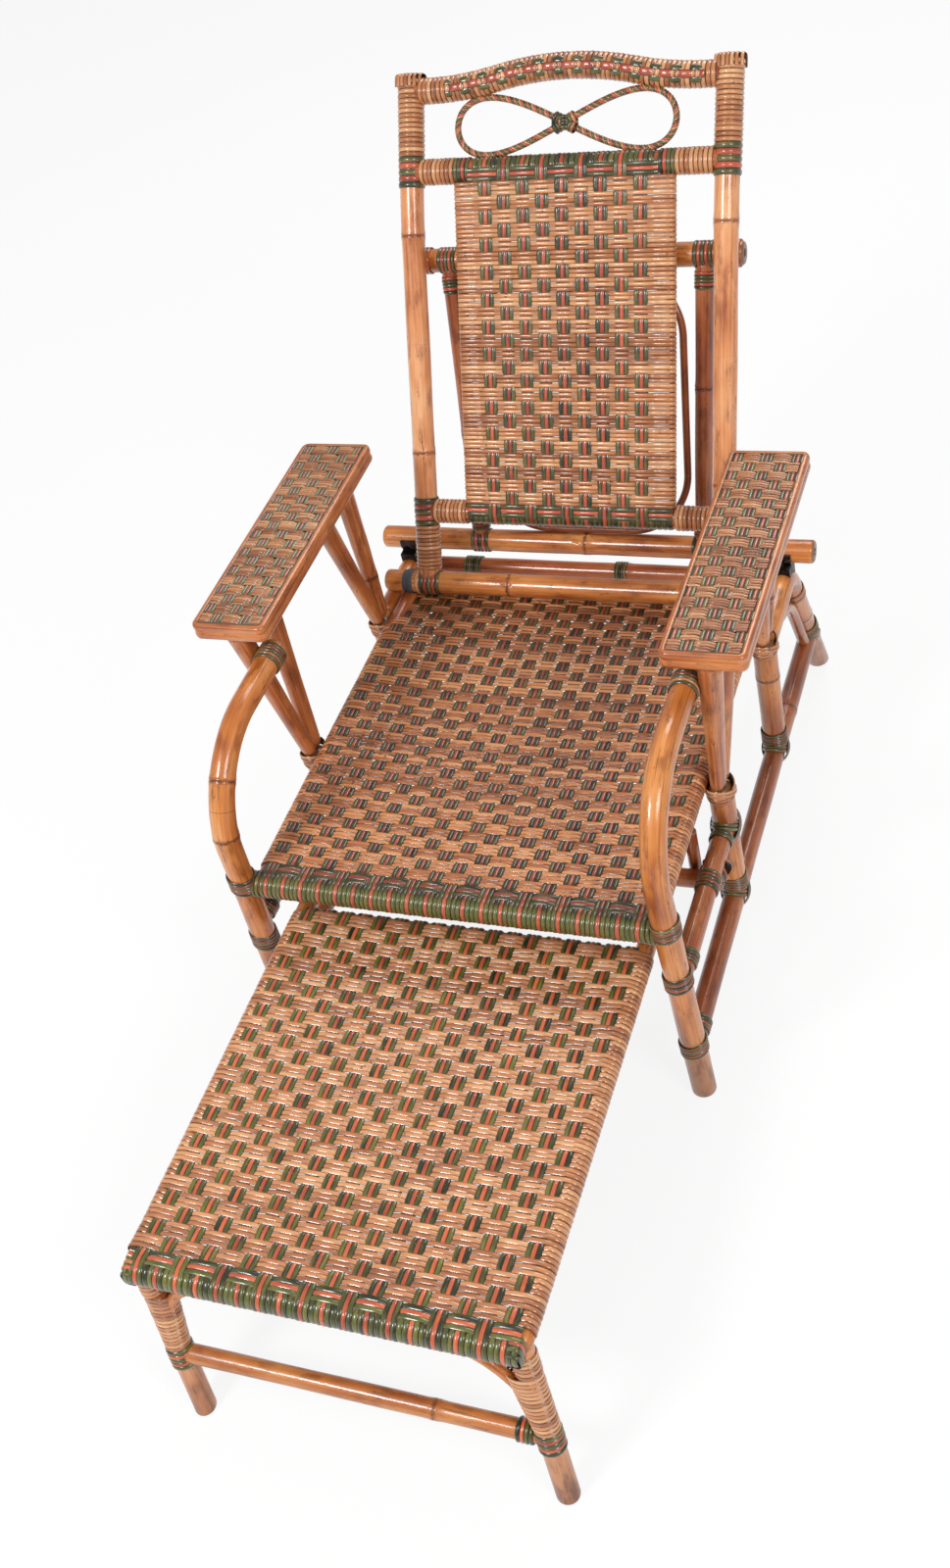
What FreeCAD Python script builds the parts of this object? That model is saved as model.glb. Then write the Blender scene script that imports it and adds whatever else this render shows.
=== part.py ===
import FreeCAD, Part
import Sketcher
import math
import os

# Bamboo folding recliner with woven cane panels, a reclining back on a prop
# frame and a footrest that slides under the seat. Millimetres. X is the width,
# +Y points to the back of the chair and +Z up. The chair stands on z = 0 and
# its length is centred on y = 0.

os.makedirs("parts", exist_ok=True)
doc = FreeCAD.newDocument("BambooRecliner")

# Driving sizes, each one cell of the sheet with an alias.
# Lengths along y are measured from the front seat rail, and moved to the
# chair's middle when the pieces are placed.
SIZES = {
    # Where the middle of the chair's length lies behind the front seat rail
    "middle_behind_rail": 187.1,
    # Pole radii
    "leg_radius": 17.0,
    "side_rail_radius": 14.0,
    "stretcher_radius": 15.0,
    "crossbar_radius": 13.0,
    "crosspiece_radius": 16.0,
    "prop_pole_radius": 13.0,
    "footrest_pole_radius": 13.0,
    "footrest_leg_radius": 14.5,
    "thin_pole_radius": 12.0,
    "brace_radius": 9.0,
    "cane_radius": 4.5,
    # Clear gap between poles that run side by side
    "clear_gap": 0.4,
    # Blocks that only cut: their reach, length and depth
    "cut_reach": 600.0,
    "cut_length": 1100.0,
    "cut_depth": 60.0,
    # How far a leg is drawn past the floor before it is cut level
    "foot_overrun": 5.0,
    # Side frames
    "frame_half": 297.0,
    "bow_foot_half": 301.0,
    "bow_lean": 1.8,
    "bow_ahead": 6.0,
    "bow_straight": 389.0,
    "bow_bend_radius": 136.0,
    "bow_top_run": 112.0,
    "stretcher_height": 100.0,
    "front_post_back": 257.0,
    "rear_post_back": 542.0,
    "fork_height": 315.0,
    "fork_spread": 7.5,
    "arm_overrun": 13.0,
    "arm_low_radius": 10.5,
    "arm_high_radius": 16.0,
    "arm_top_half": 320.0,
    "front_fork_fore": 218.0,
    "front_fork_aft": 306.0,
    "rear_fork_fore": 490.0,
    "rear_fork_aft": 584.0,
    # Armrests
    "armrest_half": 317.0,
    "armrest_width": 109.0,
    "armrest_length": 410.0,
    "armrest_back": 400.0,
    "armrest_underside": 572.0,
    "armrest_depth": 25.0,
    "armrest_corner": 16.0,
    "armrest_rim": 8.0,
    "armrest_recess": 1.5,
    "armrest_board_depth": 14.0,
    # Seat
    "seat_rail_height": 318.0,
    "front_rail_radius": 15.5,
    "front_rail_half": 284.0,
    "side_rail_half": 265.0,
    "side_rail_end": 604.0,
    "panel_depth": 6.0,
    # The lengthwise triples of strands stand out of each woven panel
    "triple_width": 19.2,
    "triple_relief": 0.8,
    "seat_panel_top": 330.0,
    "seat_panel_start": 8.0,
    "seat_panel_dip": 562.0,
    "seat_panel_end_top": 320.0,
    "seat_panel_sag": 7.0,
    "seat_sag_start": 150.0,
    "seat_sag_end": 430.0,
    "seat_triple_pitch": 25.5,
    "seat_triples": 21.0,
    "seat_rear_rail_radius": 10.0,
    "seat_rear_rail_back": 594.0,
    "seat_rear_rail_height": 309.0,
    # Rear legs
    "hoop_height": 308.0,
    "hoop_corner_back": 701.0,
    "hoop_bend_radius": 60.0,
    "rear_foot_back": 855.0,
    "brace_start": 130.0,
    "brace_bend_radius": 110.0,
    "brace_bend_angle": 44.0,
    "brace_low_run": 124.0,
    "brace_high_run": 36.0,
    "rear_rail_back": 700.0,
    "rear_rail_height": 297.0,
    # Footrest slide
    "slide_rail_height": 238.0,
    "slide_crossbar_back": 185.0,
    "slide_crossbar_height": 204.0,
    "slide_crossbar_half": 306.0,
    # Pivot of the back
    "pivot_back": 603.0,
    "pivot_height": 343.0,
    "pivot_half": 300.0,
    "loop_clearance": 0.06,
    "loop_wall": 4.0,
    "pivot_loop_length": 40.0,
    # Back frame, with lengths up the posts from the pivot
    "back_angle": 26.8,
    "post_half": 229.0,
    "post_straight": 480.0,
    "post_bend_radius": 900.0,
    "post_bend_angle": 6.0,
    "post_top_run": 147.0,
    "lower_crossbar_up": 110.0,
    "upper_crossbar_up": 592.0,
    "top_rail_up": 700.0,
    "top_rail_end_run": 30.0,
    "top_rail_rise_angle": 12.6,
    "top_rail_bend_radius": 456.0,
    "back_panel_width": 326.0,
    "back_panel_ahead": 16.5,
    "back_triple_pitch": 28.25,
    "back_triples": 9.0,
    "ornament_half": 157.0,
    "ornament_loop_radius": 35.0,
    "ornament_lift": 3.0,
    "knot_radius": 9.0,
    # Prop frame
    "prop_bar_up": 470.0,
    "prop_hinge_offset": 38.4,
    "upper_bar_half": 246.0,
    "lower_bar_half": 341.0,
    "lower_bar_back": 707.0,
    "lower_bar_height": 345.0,
    "prop_pole_top_half": 190.0,
    "prop_pole_foot_half": 176.0,
    "prop_loop_length": 26.0,
    "hoop_brace_radius": 5.5,
    "hoop_brace_corner": 90.0,
    "hoop_brace_gap": 2.0,
    "hook_width": 24.0,
    "hook_wall": 3.5,
    "hook_gap": 0.5,
    "hook_mouth_back": 4.0,
    "hook_mouth_low": 14.0,
    "hook_mouth_ahead": 40.0,
    "hook_mouth_high": 6.0,
    "hook_foot_ahead": 30.0,
    "hook_foot_length": 34.0,
    "hook_foot_drop": 52.0,
    "hook_foot_height": 40.0,
    # Footrest
    "footrest_half": 241.0,
    "footrest_height": 233.0,
    "footrest_front": -522.0,
    "footrest_roll_radius": 16.0,
    "footrest_tail": 232.0,
    "footrest_rear_rail": 20.0,
    "footrest_tail_bar": 214.0,
    "footrest_leg_half": 236.0,
    "footrest_leg_front": -508.0,
    "footrest_leg_shift": 36.0,
    "footrest_foot_front": -573.0,
    "footrest_stretcher_height": 90.0,
    "footrest_panel_drop": 1.0,
    "footrest_panel_sag": 4.0,
    "footrest_sag_end": -380.0,
    "footrest_sag_start": -130.0,
    "footrest_triple_pitch": 26.8,
    "footrest_triples": 18.0,
    "footrest_space_margin": 40.0,
    "peg_half": 263.0,
    "peg_radius": 8.5,
    "peg_back": 207.5,
    "peg_bottom": 190.0,
    "peg_top": 275.0,
    # Cane lashings and the strap
    "lashing_wall": 2.6,
    "lashing_length": 25.0,
    "stretcher_lashing_drop": 8.0,
    "slide_lashing_drop": 10.0,
    "seat_lashing_lift": 12.0,
    "bow_end_lashing": 22.0,
    "post_lashing_lift": 16.0,
    "fork_lashing_drop": 12.0,
    "rear_leg_lashing_lift": 34.0,
    "crossbar_lashing_length": 42.0,
    "prop_head_lashing": 34.0,
    "prop_foot_lashing": 32.0,
    "footrest_lashing_length": 34.0,
    "strap_wall": 2.0,
    "strap_length": 16.0,
    "strap_half": 262.0,
}

sheet = doc.addObject("Spreadsheet::Sheet", "Sizes")
for row, alias in enumerate(SIZES, start=1):
    sheet.set("A%d" % row, alias.replace("_", " "))
    sheet.set("B%d" % row, str(SIZES[alias]))
    sheet.setAlias("B%d" % row, alias)
doc.recompute()


def size(alias):
    """Return one cell of the sheet as a number."""
    return float(sheet.get(alias))


def cell(alias):
    """Return the expression that binds a property to one cell."""
    return "Sizes.%s" % alias


def point(x, y, z):
    """Return a point given by its distance behind the front seat rail."""
    return FreeCAD.Vector(x, y - size("middle_behind_rail"), z)


def direction(x, y, z):
    """Return a unit vector."""
    return FreeCAD.Vector(x, y, z).normalize()


ALONG_X = direction(1, 0, 0)
ALONG_Y = direction(0, 1, 0)
UPWARD = direction(0, 0, 1)
SIDES = {"left": -1, "right": 1}

# Nodes that are written out, by label, in the order of assembly
nodes = {}


def keep(label, piece):
    """Name a finished sub-part after its node."""
    piece.Label = label
    nodes[label] = piece
    return piece


def helper(kind, label):
    """Add a document object that only helps to make a sub-part."""
    made = doc.addObject(kind, label)
    made.Label = label
    return made


def aimed(start, along):
    """Return the placement that turns local +Z to a direction at a point."""
    return FreeCAD.Placement(start, FreeCAD.Rotation(UPWARD, along))


def straight_pole(label, start, end, radius):
    """Make a round pole from one point to another."""
    pole = helper("Part::Cylinder", label)
    pole.setExpression("Radius", cell(radius))
    pole.Height = (end - start).Length
    pole.Placement = aimed(start, end - start)
    return pole


def cross_pole(label, half, back, height, radius):
    """Make a level pole across the chair, as long as twice its half length."""
    pole = helper("Part::Cylinder", label)
    pole.setExpression("Radius", cell(radius))
    pole.setExpression("Height", "2 * " + cell(half))
    pole.Placement = aimed(point(-size(half), back, height), ALONG_X)
    return pole


def tapered_pole(label, start, end, low_radius, high_radius):
    """Make a pole that widens from its start to its end."""
    pole = helper("Part::Cone", label)
    pole.setExpression("Radius1", cell(low_radius))
    pole.setExpression("Radius2", cell(high_radius))
    pole.Height = (end - start).Length
    pole.Placement = aimed(start, end - start)
    return pole


def box(label, low, high):
    """Make a block between two corners."""
    block = helper("Part::Box", label)
    block.Length = high.x - low.x
    block.Width = high.y - low.y
    block.Height = high.z - low.z
    block.Placement = FreeCAD.Placement(low, FreeCAD.Rotation())
    return block


def coped(piece, tools):
    """Cut a piece's ends to the pieces that it meets."""
    for tool in tools:
        cut = helper("Part::Cut", "%s_cope" % piece.Label)
        cut.Base = piece
        cut.Tool = tool
        piece = cut
    return piece


def origin_plane(body, role):
    """Return one of a body's own origin planes."""
    for feature in body.Origin.OriginFeatures:
        if feature.Role == role:
            return feature
    raise ValueError(role)


def sketch_on(body, role, name):
    """Add a sketch on one of a body's origin planes."""
    sketch = body.newObject("Sketcher::SketchObject", name)
    sketch.AttachmentSupport = [(origin_plane(body, role), "")]
    sketch.MapMode = "FlatFace"
    return sketch


def bend_arc(at, heading, radius, turn):
    """Return an arc that leaves a point along a heading, its end and heading.

    A positive turn goes anticlockwise. Angles are in radians.
    """
    side = 1 if turn > 0 else -1
    across = FreeCAD.Vector(-math.sin(heading), math.cos(heading), 0) * side
    centre = at + across * radius
    first = heading - side * math.pi / 2
    last = first + turn
    end = centre + FreeCAD.Vector(math.cos(last), math.sin(last), 0) * radius
    circle = Part.Circle(centre, UPWARD, radius)
    if turn > 0:
        arc = Part.ArcOfCircle(circle, first, last)
    else:
        arc = Part.ArcOfCircle(circle, last, first)
    return arc, end, heading + turn


def bent_pole(label, steps, radius, placement):
    """Make a bent pole as a pipe along runs and bends.

    The pole starts at the local origin along +Z. A step is ("run", length)
    or ("bend", radius, degrees), and a positive bend turns it towards +Y.
    """
    body = helper("PartDesign::Body", label)
    path = sketch_on(body, "YZ_Plane", label + "_path")
    at = FreeCAD.Vector(0, 0, 0)
    heading = math.pi / 2
    for step in steps:
        if step[0] == "run":
            ahead = FreeCAD.Vector(math.cos(heading), math.sin(heading), 0)
            end = at + ahead * step[1]
            index = path.addGeometry(Part.LineSegment(at, end), False)
            at = end
        else:
            turn = -math.radians(step[2])
            arc, at, heading = bend_arc(at, heading, step[1], turn)
            index = path.addGeometry(arc, False)
        path.addConstraint(Sketcher.Constraint("Block", index))
    profile = sketch_on(body, "XY_Plane", label + "_section")
    circle = Part.Circle(FreeCAD.Vector(0, 0, 0), UPWARD, size(radius))
    profile.addGeometry(circle, False)
    profile.addConstraint(Sketcher.Constraint("Coincident", 0, 3, -1, 1))
    ring = profile.addConstraint(Sketcher.Constraint("Radius", 0, size(radius)))
    profile.setExpression("Constraints[%d]" % ring, cell(radius))
    pipe = body.newObject("PartDesign::AdditivePipe", label + "_pipe")
    pipe.Profile = profile
    pipe.Spine = path
    body.Placement = placement
    return body


def rounded_outline(sketch, width, length, corner):
    """Draw a rectangle with round corners about a sketch's origin."""
    half_x = width / 2
    half_y = length / 2
    corners = [(1, 1), (-1, 1), (-1, -1), (1, -1)]
    for number, (sx, sy) in enumerate(corners):
        centre = FreeCAD.Vector(sx * (half_x - corner), sy * (half_y - corner), 0)
        first = number * math.pi / 2
        last = first + math.pi / 2
        circle = Part.Circle(centre, UPWARD, corner)
        sketch.addGeometry(Part.ArcOfCircle(circle, first, last), False)
        next_x, next_y = corners[(number + 1) % len(corners)]
        next_centre = FreeCAD.Vector(next_x * (half_x - corner), next_y * (half_y - corner), 0)
        outward = FreeCAD.Vector(math.cos(last), math.sin(last), 0) * corner
        edge = Part.LineSegment(centre + outward, next_centre + outward)
        sketch.addGeometry(edge, False)


def padded_outline(label, outlines, depth, placement):
    """Make a plate from one outline, or a rim from an outer and inner one."""
    body = helper("PartDesign::Body", label)
    sketch = sketch_on(body, "XY_Plane", label + "_outline")
    for width, length, corner in outlines:
        rounded_outline(sketch, width, length, corner)
    pad = body.newObject("PartDesign::Pad", label + "_pad")
    pad.Profile = sketch
    pad.setExpression("Length", cell(depth))
    body.Placement = placement
    return body


def side_outline(top_line, relief):
    """Return a panel's outline seen from the side, from its top line."""
    low = size("panel_depth") + relief
    above = [(y, z + relief) for y, z in top_line]
    below = [(y, z - low) for y, z in reversed(top_line)]
    return above + below


def plate_across(label, top_line, half):
    """Make a plate from its top line seen from the side, across both sides."""
    body = helper("PartDesign::Body", label)
    sketch = sketch_on(body, "YZ_Plane", label + "_outline")
    ends = [FreeCAD.Vector(y, z, 0) for y, z in side_outline(top_line, 0)]
    for start, end in zip(ends, ends[1:] + ends[:1]):
        sketch.addGeometry(Part.LineSegment(start, end), False)
    pad = body.newObject("PartDesign::Pad", label + "_pad")
    pad.Profile = sketch
    pad.setExpression("Length", "2 * " + cell(half))
    body.Placement = FreeCAD.Placement(point(-size(half), 0, 0), FreeCAD.Rotation())
    return body


def triple_places(name):
    """Return where the triples of strands of a panel lie across the chair."""
    count = int(size(name + "_triples"))
    pitch = size(name + "_triple_pitch")
    return [(number - (count - 1) / 2) * pitch for number in range(count)]


def bands_across(name, top_line):
    """Return the triples of a seat or footrest panel, as bare shapes."""
    bands = []
    for middle in triple_places(name):
        low_x = middle - size("triple_width") / 2
        corners = [point(low_x, y, z) for y, z in side_outline(top_line, size("triple_relief"))]
        face = Part.Face(Part.makePolygon(corners + corners[:1]))
        bands.append(face.extrude(ALONG_X * size("triple_width")))
    return bands


def with_bands(slab, bands):
    """Join the triples to their panel."""
    group = helper("Part::Feature", "%s_bands" % slab.Label)
    group.Shape = Part.makeCompound(bands)
    joined = helper("Part::MultiFuse", "%s_woven" % slab.Label)
    joined.Shapes = [slab, group]
    return joined


def tube(start, along, inner, wall, length):
    """Return a ring centred on a point, as a bare shape."""
    base = start - along * (length / 2)
    outside = Part.makeCylinder(inner + wall, length, base, along)
    inside = Part.makeCylinder(inner, length, base, along)
    return outside.cut(inside)


def ring_group(label, rings, tools):
    """Make one node of separate rings, each cut where a pole passes.

    Each ring is a tuple of its centre, axis, inner radius, wall and length.
    """
    solids = []
    for ring in rings:
        shape = tube(*ring)
        for tool in tools:
            if shape.BoundBox.intersect(tool.Shape.BoundBox):
                shape = shape.cut(tool.Shape)
        solids.extend(shape.Solids)
    group = helper("Part::Feature", label)
    group.Shape = Part.makeCompound(solids)
    return keep(label, group)


reach_x = size("cut_reach")
reach_y = size("cut_length")
floor_block = box(
    "floor_block",
    FreeCAD.Vector(-reach_x, -reach_y, -size("cut_depth")),
    FreeCAD.Vector(reach_x, reach_y, 0),
)


def side_frame(side):
    """Make the poles of one side frame and return them by their short names."""
    sign = SIDES[side]
    frame_x = sign * size("frame_half")
    made = {}

    # Front leg: one pole that rises from the floor and bends back at the top
    lean = FreeCAD.Rotation(ALONG_Y, -sign * size("bow_lean"))
    below = size("foot_overrun")
    bow = bent_pole(
        "bow_leg_pole_" + side,
        [
            ("run", size("bow_straight") + below),
            ("bend", size("bow_bend_radius"), 90.0),
            ("run", size("bow_top_run")),
        ],
        "leg_radius",
        FreeCAD.Placement(
            point(sign * size("bow_foot_half"), -size("bow_ahead"), -below),
            lean,
        ),
    )
    made["bow"] = keep("bow_leg_" + side, coped(bow, [floor_block]))

    # Rear leg: level behind the rear post, then bent down to the floor
    drop = size("hoop_height")
    reach = size("rear_foot_back") - size("hoop_corner_back")
    slope = math.degrees(math.atan2(drop, reach))
    tangent = size("hoop_bend_radius") * math.tan(math.radians(slope / 2))
    level_run = size("hoop_corner_back") - size("rear_post_back") - tangent
    leg_run = math.hypot(drop, reach) - tangent + below
    hoop = bent_pole(
        "rear_leg_pole_" + side,
        [("run", level_run), ("bend", size("hoop_bend_radius"), slope), ("run", leg_run)],
        "leg_radius",
        FreeCAD.Placement(
            point(frame_x, size("rear_post_back"), drop),
            FreeCAD.Rotation(ALONG_X, -90),
        ),
    )

    # Lower stretcher, level from the front leg to the rear leg
    low = size("stretcher_height")
    rear_low = size("rear_foot_back") - reach * low / drop
    stretcher = straight_pole(
        "stretcher_pole_" + side,
        point(frame_x, -size("bow_ahead"), low),
        point(frame_x, rear_low, low),
        "stretcher_radius",
    )
    stretcher = keep("lower_stretcher_" + side, coped(stretcher, [bow, hoop]))
    made["stretcher"] = stretcher

    # Posts that stand on the stretcher and end at the fork
    for name in ("front", "rear"):
        back = size(name + "_post_back")
        post = straight_pole(
            name + "_post_pole_" + side,
            point(frame_x, back, low),
            point(frame_x, back, size("fork_height")),
            "leg_radius",
        )
        made[name + "_post"] = keep("%s_post_%s" % (name, side), coped(post, [stretcher]))
    made["hoop"] = keep("rear_leg_" + side, coped(hoop, [made["rear_post"], floor_block]))

    # Slide rail between the front leg and the front post
    slide = straight_pole(
        "slide_pole_" + side,
        point(frame_x, -size("bow_ahead"), size("slide_rail_height")),
        point(frame_x, size("front_post_back"), size("slide_rail_height")),
        "side_rail_radius",
    )
    made["slide"] = keep("slide_rail_" + side, coped(slide, [bow, made["front_post"]]))
    return made


def forks(side, frame):
    """Make the two pairs of tapered arms that spread from posts to armrest."""
    sign = SIDES[side]
    low = size("fork_height")
    high = size("armrest_underside")
    top_x = sign * size("arm_top_half")
    above = box(
        "armrest_space_" + side,
        FreeCAD.Vector(min(0, sign * reach_x), -reach_y, high),
        FreeCAD.Vector(max(0, sign * reach_x), reach_y, high + size("cut_depth")),
    )
    spread = size("fork_spread")
    for name in ("front", "rear"):
        back = size(name + "_post_back")
        arms = []
        for part, shift in (("fore", -spread), ("aft", spread)):
            start = point(sign * size("frame_half"), back + shift, low)
            top_back = size("%s_fork_%s" % (name, part))
            end = point(top_x, top_back, high)
            end = end + (end - start).normalize() * size("arm_overrun")
            arm = tapered_pole(
                "%s_%s_arm_%s" % (name, part, side),
                start,
                end,
                "arm_low_radius",
                "arm_high_radius",
            )
            arms.append(arm)
        tools = [frame[name + "_post"], above, frame["bow"], frame["hoop"]]
        fore = coped(arms[0], tools)
        aft = coped(arms[1], [arms[0]] + tools)
        pair = helper("Part::Compound", "%s_fork_%s" % (name, side))
        pair.Links = [fore, aft]
        frame[name + "_fork"] = keep("%s_fork_arms_%s" % (name, side), pair)


def armrest(side):
    """Make the woven board of one armrest and the cane rim around it."""
    base = point(
        SIDES[side] * size("armrest_half"),
        size("armrest_back"),
        size("armrest_underside"),
    )
    width = size("armrest_width")
    length = size("armrest_length")
    rim = size("armrest_rim")
    corner = size("armrest_corner")
    outer = (width, length, corner)
    inner = (width - 2 * rim, length - 2 * rim, corner - rim)
    lift = size("armrest_depth") - size("armrest_recess") - size("armrest_board_depth")
    board_base = base + UPWARD * lift
    rim_body = padded_outline(
        "armrest_rim_" + side,
        [outer, inner],
        "armrest_depth",
        FreeCAD.Placement(base, FreeCAD.Rotation()),
    )
    keep("armrest_rim_" + side, rim_body)
    board = padded_outline(
        "armrest_board_" + side,
        [inner],
        "armrest_board_depth",
        FreeCAD.Placement(board_base, FreeCAD.Rotation()),
    )
    keep("armrest_board_" + side, board)


def seat(frames):
    """Make the seat's rails, its pivot bar and its panel."""
    bows = [frames["left"]["bow"], frames["right"]["bow"]]
    front = cross_pole(
        "front_rail_pole", "front_rail_half", 0, size("seat_rail_height"), "front_rail_radius"
    )
    front = keep("front_seat_rail", coped(front, bows))
    pivot = cross_pole(
        "pivot_bar_pole", "pivot_half", size("pivot_back"), size("pivot_height"), "leg_radius"
    )
    keep("pivot_bar", pivot)
    rails = []
    for side, sign in SIDES.items():
        across = sign * size("side_rail_half")
        rail = straight_pole(
            "side_rail_pole_" + side,
            point(across, 0, size("seat_rail_height")),
            point(across, size("side_rail_end"), size("seat_rail_height")),
            "side_rail_radius",
        )
        rail = coped(rail, [front, pivot, frames[side]["bow"]])
        rails.append(keep("seat_side_rail_" + side, rail))
    rear = cross_pole(
        "seat_rear_rail_pole",
        "side_rail_half",
        size("seat_rear_rail_back"),
        size("seat_rear_rail_height"),
        "seat_rear_rail_radius",
    )
    rear = keep("seat_rear_rail", coped(rear, rails))
    top = size("seat_panel_top")
    sagged = top - size("seat_panel_sag")
    top_line = [
        (size("seat_panel_start"), top),
        (size("seat_sag_start"), sagged),
        (size("seat_sag_end"), sagged),
        (size("seat_panel_dip"), top),
        (size("seat_rear_rail_back"), size("seat_panel_end_top")),
    ]
    slab = plate_across("seat_slab", top_line, "side_rail_half")
    woven = with_bands(slab, bands_across("seat", top_line))
    keep("seat_panel", coped(woven, rails + [front, rear]))
    return {"front": front, "pivot": pivot, "rails": rails}


def base_cross_members(frames):
    """Make the crossbar of the slide and the rear cross rail."""
    crossbar = cross_pole(
        "slide_crossbar_pole",
        "slide_crossbar_half",
        size("slide_crossbar_back"),
        size("slide_crossbar_height"),
        "crossbar_radius",
    )
    keep("slide_crossbar", crossbar)
    rear = cross_pole(
        "rear_cross_rail_pole",
        "frame_half",
        size("rear_rail_back"),
        size("rear_rail_height"),
        "side_rail_radius",
    )
    hoops = [frames["left"]["hoop"], frames["right"]["hoop"]]
    return crossbar, keep("rear_cross_rail", coped(rear, hoops))


def rear_leg_braces(frames):
    """Make the thin curved braces in the corners of the rear legs."""
    drop = size("hoop_height")
    reach = size("rear_foot_back") - size("hoop_corner_back")
    length = math.hypot(drop, reach)
    along_leg = FreeCAD.Vector(0, -reach / length, drop / length)
    ahead = FreeCAD.Vector(0, -drop / length, -reach / length)
    gap = size("leg_radius") + size("brace_radius") + size("clear_gap")
    tilt = math.degrees(math.atan2(reach, drop))
    braces = []
    for side, sign in SIDES.items():
        foot = point(sign * size("frame_half"), size("rear_foot_back"), 0)
        start = foot + along_leg * size("brace_start") + ahead * gap
        brace = bent_pole(
            "rear_leg_brace_" + side,
            [
                ("run", size("brace_low_run")),
                ("bend", size("brace_bend_radius"), -size("brace_bend_angle")),
                ("run", size("brace_high_run")),
            ],
            "brace_radius",
            FreeCAD.Placement(start, FreeCAD.Rotation(ALONG_X, tilt)),
        )
        braces.append(coped(brace, [frames[side]["hoop"], frames[side]["stretcher"]]))
    pair = helper("Part::Compound", "rear_leg_brace_pair")
    pair.Links = braces
    return keep("rear_leg_braces", pair)


# Directions of the back: up its posts, and out of its rear face
recline = math.radians(size("back_angle"))
BACK_UP = direction(0, math.sin(recline), math.cos(recline))
BACK_REAR = direction(0, BACK_UP.z, -BACK_UP.y)


def on_back(x, up, behind=0.0):
    """Return a point on the posts' centre lines, which bend near the top."""
    pivot = point(x, size("pivot_back"), size("pivot_height"))
    straight = size("post_straight")
    if up <= straight:
        return pivot + BACK_UP * up + BACK_REAR * behind
    radius = size("post_bend_radius")
    full = math.radians(size("post_bend_angle"))
    turned = min((up - straight) / radius, full)
    rest = up - straight - turned * radius
    along = straight + radius * math.sin(turned) + rest * math.cos(turned)
    aside = radius * (1 - math.cos(turned)) + rest * math.sin(turned)
    return pivot + BACK_UP * along + BACK_REAR * (aside + behind)


def back_heading(up):
    """Return the direction of the posts at a length above the pivot."""
    return (on_back(0, up + 0.5) - on_back(0, up - 0.5)).normalize()


def back_frame():
    """Make the posts, rails and panel of the back."""
    loops_radius = size("leg_radius") + size("loop_clearance") + size("loop_wall")
    pivot_space = helper("Part::Cylinder", "pivot_loop_space")
    pivot_space.Radius = loops_radius
    pivot_space.Height = 2 * size("pivot_half")
    pivot_space.Placement = aimed(
        point(-size("pivot_half"), size("pivot_back"), size("pivot_height")), ALONG_X
    )
    posts = {}
    for side, sign in SIDES.items():
        post = bent_pole(
            "back_post_pole_" + side,
            [
                ("run", size("post_straight")),
                ("bend", size("post_bend_radius"), size("post_bend_angle")),
                ("run", size("post_top_run")),
            ],
            "leg_radius",
            FreeCAD.Placement(
                on_back(sign * size("post_half"), 0),
                FreeCAD.Rotation(ALONG_X, -size("back_angle")),
            ),
        )
        posts[side] = keep("back_post_" + side, coped(post, [pivot_space]))
    both = [posts["left"], posts["right"]]
    bars = {}
    for name in ("lower", "upper"):
        up = size(name + "_crossbar_up")
        bar = helper("Part::Cylinder", name + "_crossbar_pole")
        bar.setExpression("Radius", cell("crosspiece_radius"))
        bar.setExpression("Height", "2 * " + cell("post_half"))
        bar.Placement = aimed(on_back(-size("post_half"), up), ALONG_X)
        bars[name] = keep("back_%s_crossbar" % name, coped(bar, both))

    rail_up = size("top_rail_up")
    rise = back_heading(rail_up)
    rotation = FreeCAD.Rotation(rise.cross(ALONG_X), rise, ALONG_X, "ZYX")
    angle = size("top_rail_rise_angle")
    radius = size("top_rail_bend_radius")
    run = size("top_rail_end_run")
    rail = bent_pole(
        "top_rail_pole",
        [
            ("run", run),
            ("bend", radius, angle),
            ("bend", radius, -2 * angle),
            ("bend", radius, angle),
            ("run", run),
        ],
        "crosspiece_radius",
        FreeCAD.Placement(on_back(-size("post_half"), rail_up), rotation),
    )
    keep("top_rail", coped(rail, both))

    low = on_back(0, size("lower_crossbar_up"))
    high = on_back(0, size("upper_crossbar_up"))
    up_panel = (high - low).normalize()
    rear = up_panel.cross(ALONG_X)
    behind = size("panel_depth") / 2 - size("back_panel_ahead")
    corner = low - ALONG_X * (size("back_panel_width") / 2) + rear * behind
    slab = helper("Part::Box", "back_slab")
    slab.setExpression("Length", cell("back_panel_width"))
    slab.setExpression("Height", cell("panel_depth"))
    slab.Width = (high - low).Length
    facing = FreeCAD.Rotation(ALONG_X, up_panel, rear * -1, "ZXY")
    slab.Placement = FreeCAD.Placement(corner, facing)
    bands = []
    relief = size("triple_relief")
    for middle in triple_places("back"):
        shift = middle + (size("back_panel_width") - size("triple_width")) / 2
        depth = size("panel_depth") + 2 * relief
        band = Part.makeBox(size("triple_width"), (high - low).Length, depth)
        band.Placement = FreeCAD.Placement(corner + ALONG_X * shift + rear * relief, facing)
        bands.append(band)
    woven = with_bands(slab, bands)
    keep("back_panel", coped(woven, [bars["lower"], bars["upper"]]))
    return posts, bars


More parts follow.
